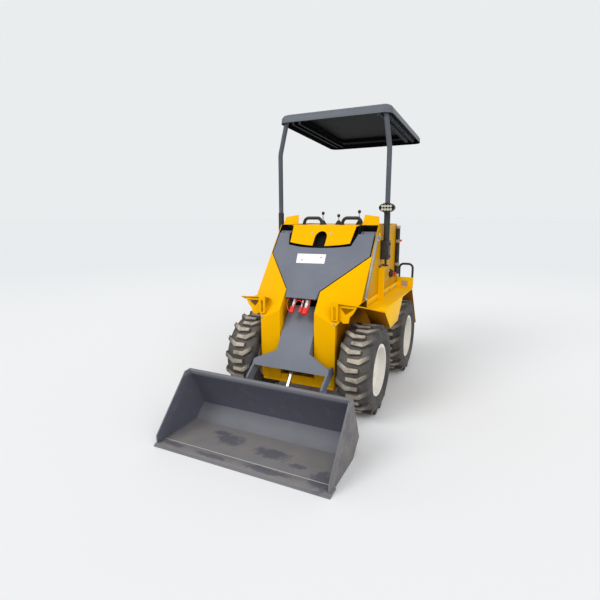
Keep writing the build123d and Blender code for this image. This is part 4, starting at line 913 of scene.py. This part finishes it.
for x, height in lever_table:
    shape.lathe(boot, (x, LEVER_Y, deck_z), UPWARD, plastic, 28)
    stem_top = height - STEM_SHORT
    stem = ((0.0, 0.0), (STEM_RADIUS, 0.0), (STEM_RADIUS, stem_top), (0.0, stem_top))
    shape.lathe(stem, (x, LEVER_Y, deck_z + LEVER_SINK), UPWARD, surfaces["chrome_rod"], 16)
    shape.lathe(knob, (x, LEVER_Y, deck_z + height - KNOB_HIGH), UPWARD, plastic, 24)
shape.piece("lever_set", "root", "black_plastic", replaced=("control_levers",))

# Clamp handles under the posts: a star knob and a slanting handle
KNOB_Z = 0.922
STAR_RADII = (0.0140, 0.0185)
STAR_THICK = 0.010
SPINDLE_PROFILE = ((0.0, 0.0), (0.008, 0.0), (0.008, 0.040), (0.0, 0.040))
HANDLE_RADIUS = 0.0050
HANDLE_PATH = ((0.398, 0.110, 0.004), (0.386, 0.080, -0.006), (0.384, 0.060, -0.014))
star = []
for place, a in enumerate(turns(16)):
    radius = STAR_RADII[place % 2]
    star.append((radius * math.cos(a), radius * math.sin(a)))
shape = Shape()
for side in SIDES:
    shape.block(star, (side * POST_X, POST_Y, KNOB_Z), ACROSS, (0, 1, 0), STAR_THICK, plastic)
    shape.lathe(SPINDLE_PROFILE, (side * POST_X, POST_Y, KNOB_Z - 0.002), UPWARD, plastic, 16)
    shape.tube([(side * x, y, KNOB_Z + up) for x, y, up in HANDLE_PATH], HANDLE_RADIUS, plastic)
shape.piece("clamp_handles", "root", "black_plastic", bevel=0.0010, replaced=("clamp_levers",))

# Gland nuts on the cylinders and the pins' heads at the bucket
LIFT_BASE = Vector((0.0, 0.300, 0.600))
LIFT_PIN = Vector((0.0, -0.060, 0.960))
LIFT_X = 0.312
LIFT_BARREL_RADIUS = 0.027
LIFT_SHORT = 0.110
TILT_BASE = Vector((0.0, -0.270, 0.620))
TILT_PIN = Vector((0.0, -0.640, 0.170))
TILT_BARREL_RADIUS = 0.030
TILT_SHORT = 0.170
GLAND_SINK = 0.016
ROD_RADIUS = 0.014
ROD_PLAY = 0.0006
HINGE_Y, HINGE_Z = -0.640, 0.090
HINGE_HEAD_X = 0.2645
HINGE_BOLT_X = 0.2700
HINGE_HEAD = 0.0060


def gland(shape, base, pin, x, barrel_radius, short):
    """The nut at a barrel's end, short of the pin by short, with the rod through it."""
    along = (pin - base).normalized()
    place = base + Vector((x, 0, 0)) + along * ((pin - base).length - short - GLAND_SINK)
    rod = ROD_RADIUS + ROD_PLAY
    wide = barrel_radius + 0.003
    profile = (
        (barrel_radius - 0.001, 0.0), (wide, 0.001), (wide, 0.019), (barrel_radius, 0.022), (rod, 0.022),
        (rod, 0.016),
    )
    shape.lathe(profile, place, along, surfaces["black_paint"], 32)


shape = Shape()
for side in SIDES:
    gland(shape, LIFT_BASE, LIFT_PIN, side * LIFT_X, LIFT_BARREL_RADIUS, LIFT_SHORT)
shape.piece("lift_glands", "lift_barrel_pair", "black_paint")
shape = Shape()
gland(shape, TILT_BASE, TILT_PIN, 0.0, TILT_BARREL_RADIUS, TILT_SHORT)
shape.piece("tilt_gland", "lift_arm", "black_paint")
shape = Shape()
for side in SIDES:
    outward = (side, 0, 0)
    head = disc(0.020, 0.004, 0.017, 0.006)
    shape.lathe(head, (side * HINGE_HEAD_X, HINGE_Y, HINGE_Z), outward, zinc, 28)
    bolt(shape, (side * HINGE_BOLT_X, HINGE_Y, HINGE_Z), outward, HINGE_HEAD)
shape.piece("hinge_pin_heads", "bucket_body", "zinc_steel")

# Weld beads along the bucket's corners
BUCKET_IN = 0.514
BEAD_RADIUS = 0.0042
BEAD_STEP = 0.006
BEAD_INSET = 0.0012
BEAD_WAVE = 0.0006
bucket_line = ((-1.125, 0.0085), (-0.867, 0.0085), (-0.776, 0.087), (-0.889, 0.344))
line = []
for (y0, z0), (y1, z1) in zip(bucket_line, bucket_line[1:]):
    run = math.hypot(y1 - y0, z1 - z0)
    count = max(2, int(run / BEAD_STEP))
    for step in range(count):
        t = step / count
        line.append((y0 + (y1 - y0) * t, z0 + (z1 - z0) * t))
shape = Shape()
for side in SIDES:
    points = []
    for place, (y, z) in enumerate(line):
        x = BUCKET_IN - BEAD_INSET + BEAD_WAVE * math.sin(place * 1.9)
        points.append((side * x, y, z + BEAD_WAVE * math.sin(place * 2.3)))
    shape.tube(points, BEAD_RADIUS, bucket_paint, 8)
shape.piece("bucket_welds", "bucket_body", "grey_paint")

# Wheels: rounded tyres over the frame's plain ones, and nuts on the rims
AXLE_Z = 0.290
FRONT_AXLE_Y = -0.272
REAR_AXLE_Y = 0.590
TYRE_SEGMENTS = 96
CROWN_HALF = 0.095
CROWN_LOW = 0.25
CROWN_DUST = 0.12
WALL_DUST = 0.06
LUG_TOP = 0.2888
LUG_ROOT = 0.2620
LUG_COUNT = 16
LUG_FOOT_DUST = 0.05
LUG_BEVEL_DUST = 0.45
LUG_TOP_DUST = 0.95
lug_outline = (
    # out from the middle, round the tyre
    (-0.038, -0.029), (0.038, -0.037), (0.096, 0.005), (0.096, 0.037), (0.030, -0.003), (-0.038, -0.003),
)
lug_levels = (
    # moved in, radius
    (-0.0035, LUG_ROOT), (0.0, LUG_TOP - 0.0035), (0.0010, LUG_TOP - 0.0010), (0.0032, LUG_TOP),
)
half_section = (
    # out from the middle, radius
    (0.0, 0.2680), (0.040, 0.2680), (0.070, 0.2672), (0.090, 0.2645), (0.0995, 0.2570),
    (0.1040, 0.2440), (0.1062, 0.2400), (0.1066, 0.2380), (0.1058, 0.2355), (0.1076, 0.2240),
    (0.1083, 0.2120), (0.1078, 0.2040), (0.1088, 0.2022), (0.1088, 0.2000), (0.1066, 0.1978),
    (0.1020, 0.1870), (0.0960, 0.1770), (0.0920, 0.1722), (0.0888, 0.1700), (0.0888, 0.1529),
)


def moved_in(outline, inset):
    """The outline with each side moved in by the same amount."""
    made = []
    for place, corner in enumerate(outline):
        before, after = outline[place - 1], outline[(place + 1) % len(outline)]
        first = (Vector(corner) - Vector(before)).normalized()
        second = (Vector(after) - Vector(corner)).normalized()
        first_in, second_in = Vector((-first.y, first.x)), Vector((-second.y, second.x))
        made.append(Vector(corner) + (first_in + second_in) * inset / (1 + first_in.dot(second_in)))
    return made


def with_midpoints(outline, pieces=4):
    """The outline with its sides divided, so that it can follow the tyre round."""
    made = []
    for place, corner in enumerate(outline):
        after = outline[(place + 1) % len(outline)]
        made += [corner.lerp(after, step / pieces) for step in range(pieces)]
    return made


def on_wheel(centre, out, radius, turn):
    """The point out from a wheel's middle plane, at a radius and a turn round its axle."""
    return (centre.x + out, centre.y + radius * math.cos(turn), centre.z + radius * math.sin(turn))


def lug(shape, centre, row, turn):
    """One lug of a row, bent round the tyre, with bevelled shoulders and a dusty top."""
    outline = [Vector(corner) for corner in lug_outline]
    rows = []
    for inset, radius in lug_levels:
        ring = []
        for point in with_midpoints(moved_in(outline, inset)):
            spot = on_wheel(centre, point.x * row, radius, turn - point.y / AXLE_Z)
            ring.append(shape.mesh.verts.new(spot))
        rows.append(ring)
    for level, (lower, upper) in enumerate(zip(rows, rows[1:])):
        dusty = LUG_FOOT_DUST if level == 0 else LUG_BEVEL_DUST
        for place in range(len(lower)):
            after = (place + 1) % len(lower)
            shape.face((lower[place], lower[after], upper[after], upper[place]), tread, dusty)
    shape.face(rows[-1], tread, LUG_TOP_DUST)


def tyre(wheel_node, body, side, axle_y):
    """A tyre over the frame's own one: its carcass first, then its two rows of lugs."""
    shape = Shape()
    centre = Vector((side * WHEEL_X, axle_y, AXLE_Z))
    section = [(-x, r) for x, r in reversed(half_section[1:])] + list(half_section)
    rings = []
    for turn in turns(TYRE_SEGMENTS):
        rings.append([shape.mesh.verts.new(on_wheel(centre, x, r, turn)) for x, r in section])
    for here, after in zip(rings, rings[1:] + rings[:1]):
        for step, (x, r) in enumerate(section):
            following = (step + 1) % len(section)
            dusty = CROWN_DUST if abs(x) < CROWN_HALF and r > CROWN_LOW else WALL_DUST
            shape.face((here[step], after[step], after[following], here[following]), tread, dusty)
    corner_angle = math.asin(max(abs(around) for _, around in lug_outline) / AXLE_Z)
    first_turn = math.radians(-90) - corner_angle
    for row, shift in ((1, 0.0), (-1, 0.5)):
        for place in range(LUG_COUNT):
            lug(shape, centre, row * side, first_turn + (place + shift) * math.tau / LUG_COUNT)
    shape.piece(f"{wheel_node}_tread", body, "tyre_rubber", replaced=(wheel_node,))


DISC_OUT = 0.050
NUT_CIRCLE = 0.070
NUT_COUNT = 5
NUT_TURN = 0.3
NUT_HEAD = 0.0095
HUB_SINK = 0.001
HUB_PROFILE = ((0.0, 0.0), (0.036, 0.0), (0.036, 0.010), (0.030, 0.016), (0.0, 0.017))


def wheel_nuts(corner, body, side, axle_y):
    shape = Shape()
    outward = (side, 0, 0)
    disc_x = side * (WHEEL_X + DISC_OUT)
    for a in turns(NUT_COUNT, NUT_TURN):
        spot = (disc_x, axle_y + NUT_CIRCLE * math.cos(a), AXLE_Z + NUT_CIRCLE * math.sin(a))
        bolt(shape, spot, outward, NUT_HEAD, surfaces["wheel_paint"])
    hub_at = (disc_x - side * HUB_SINK, axle_y, AXLE_Z)
    shape.lathe(HUB_PROFILE, hub_at, outward, surfaces["wheel_paint"], 32)
    shape.piece(f"wheel_nuts_{corner}", body, "wheel_paint")


for end, axle_y in (("front", FRONT_AXLE_Y), ("rear", REAR_AXLE_Y)):
    for hand, side in (("left", 1), ("right", -1)):
        corner = f"{end}_{hand}"
        tyre(f"tyre_{corner}", f"wheel_{corner}", side, axle_y)
        wheel_nuts(corner, f"wheel_{corner}", side, axle_y)


# Stage, light and camera
# The floor is painted lighter near the machine and darker far off: a painted pool of light
FLOOR_NEAR = (0.815, 0.827, 0.838)
FLOOR_FAR = (0.738, 0.758, 0.773)
FLOOR_FADE = (1.5, 9.0)
SKY_STRENGTH = 0.70
SKY_SEEN = (0.825, 0.844, 0.857)
FLOOR_RADIUS = 150.0


def stage_floor():
    mesh = bpy.data.meshes.new("floor")
    shape = bmesh.new()
    bmesh.ops.create_circle(shape, cap_ends=True, radius=FLOOR_RADIUS, segments=96)
    shape.to_mesh(mesh)
    shape.free()
    floor = bpy.data.objects.new("floor", mesh)
    bpy.context.collection.objects.link(floor)
    made, tree, shader, place = new_material("floor_mat")
    length = node(tree, "ShaderNodeVectorMath", operation="LENGTH")
    tree.links.new(place, length.inputs[0])
    fade = ramp(tree, length.outputs["Value"], *FLOOR_FADE)
    tree.links.new(mix(tree, fade, FLOOR_NEAR, FLOOR_FAR), shader.inputs["Base Color"])
    shader.inputs["Roughness"].default_value = 0.95
    shader.inputs["Specular IOR Level"].default_value = 0.1
    floor.data.materials.append(made)


def studio_world():
    world = bpy.data.worlds.new("studio")
    world.use_nodes = True
    bpy.context.scene.world = world
    tree = world.node_tree
    background = tree.nodes["Background"]
    background.inputs["Color"].default_value = (1.0, 1.0, 1.0, 1.0)
    background.inputs["Strength"].default_value = SKY_STRENGTH
    seen = node(tree, "ShaderNodeBackground")
    seen.inputs["Color"].default_value = (*SKY_SEEN, 1.0)
    ray = node(tree, "ShaderNodeLightPath")
    direct = math_node(tree, "MAXIMUM", ray.outputs["Is Camera Ray"], ray.outputs["Is Glossy Ray"])
    direct = math_node(tree, "MAXIMUM", direct, ray.outputs["Is Transmission Ray"])
    either = node(tree, "ShaderNodeMixShader")
    tree.links.new(direct, either.inputs["Fac"])
    tree.links.new(background.outputs["Background"], either.inputs[1])
    tree.links.new(seen.outputs["Background"], either.inputs[2])
    tree.links.new(either.outputs["Shader"], tree.nodes["World Output"].inputs["Surface"])


def sun(name, towards, strength, angle):
    """A soft light from far away; towards points from the object to the light."""
    lamp = bpy.data.lights.new(name, "SUN")
    lamp.energy = strength
    lamp.angle = math.radians(angle)
    made = bpy.data.objects.new(name, lamp)
    made.rotation_euler = Vector(towards).to_track_quat("Z", "Y").to_euler()
    bpy.context.collection.objects.link(made)


stage_floor()
studio_world()
sun("key", (-0.42, -0.62, 0.66), 1.10, 30)
sun("fill", (0.60, -0.50, 0.62), 0.84, 50)

# The photograph's camera, in metres and radians; its focal length is in pixels of a 600 pixel picture
CAMERA_AT = (1.1449, -2.8048, 1.2702)
YAW, PITCH, ROLL = 0.4469, 0.2001, -0.0042
FOCAL_PX, PICTURE_PX = 422.24, 600.0
forward = Vector((-math.sin(YAW) * math.cos(PITCH), math.cos(YAW) * math.cos(PITCH), -math.sin(PITCH)))
level_right = Vector((math.cos(YAW), math.sin(YAW), 0.0))
level_up = level_right.cross(forward)
right = level_right * math.cos(ROLL) + level_up * math.sin(ROLL)
up = level_up * math.cos(ROLL) - level_right * math.sin(ROLL)
camera_data = bpy.data.cameras.new("camera")
camera_data.sensor_width = 36.0
camera_data.lens = camera_data.sensor_width * FOCAL_PX / PICTURE_PX
camera_data.clip_end = 200.0
camera = bpy.data.objects.new("camera", camera_data)
camera.matrix_world = Matrix.Translation(CAMERA_AT) @ Matrix((right, up, -forward)).transposed().to_4x4()
bpy.context.collection.objects.link(camera)
bpy.context.scene.camera = camera
bpy.context.scene.view_settings.view_transform = "Standard"
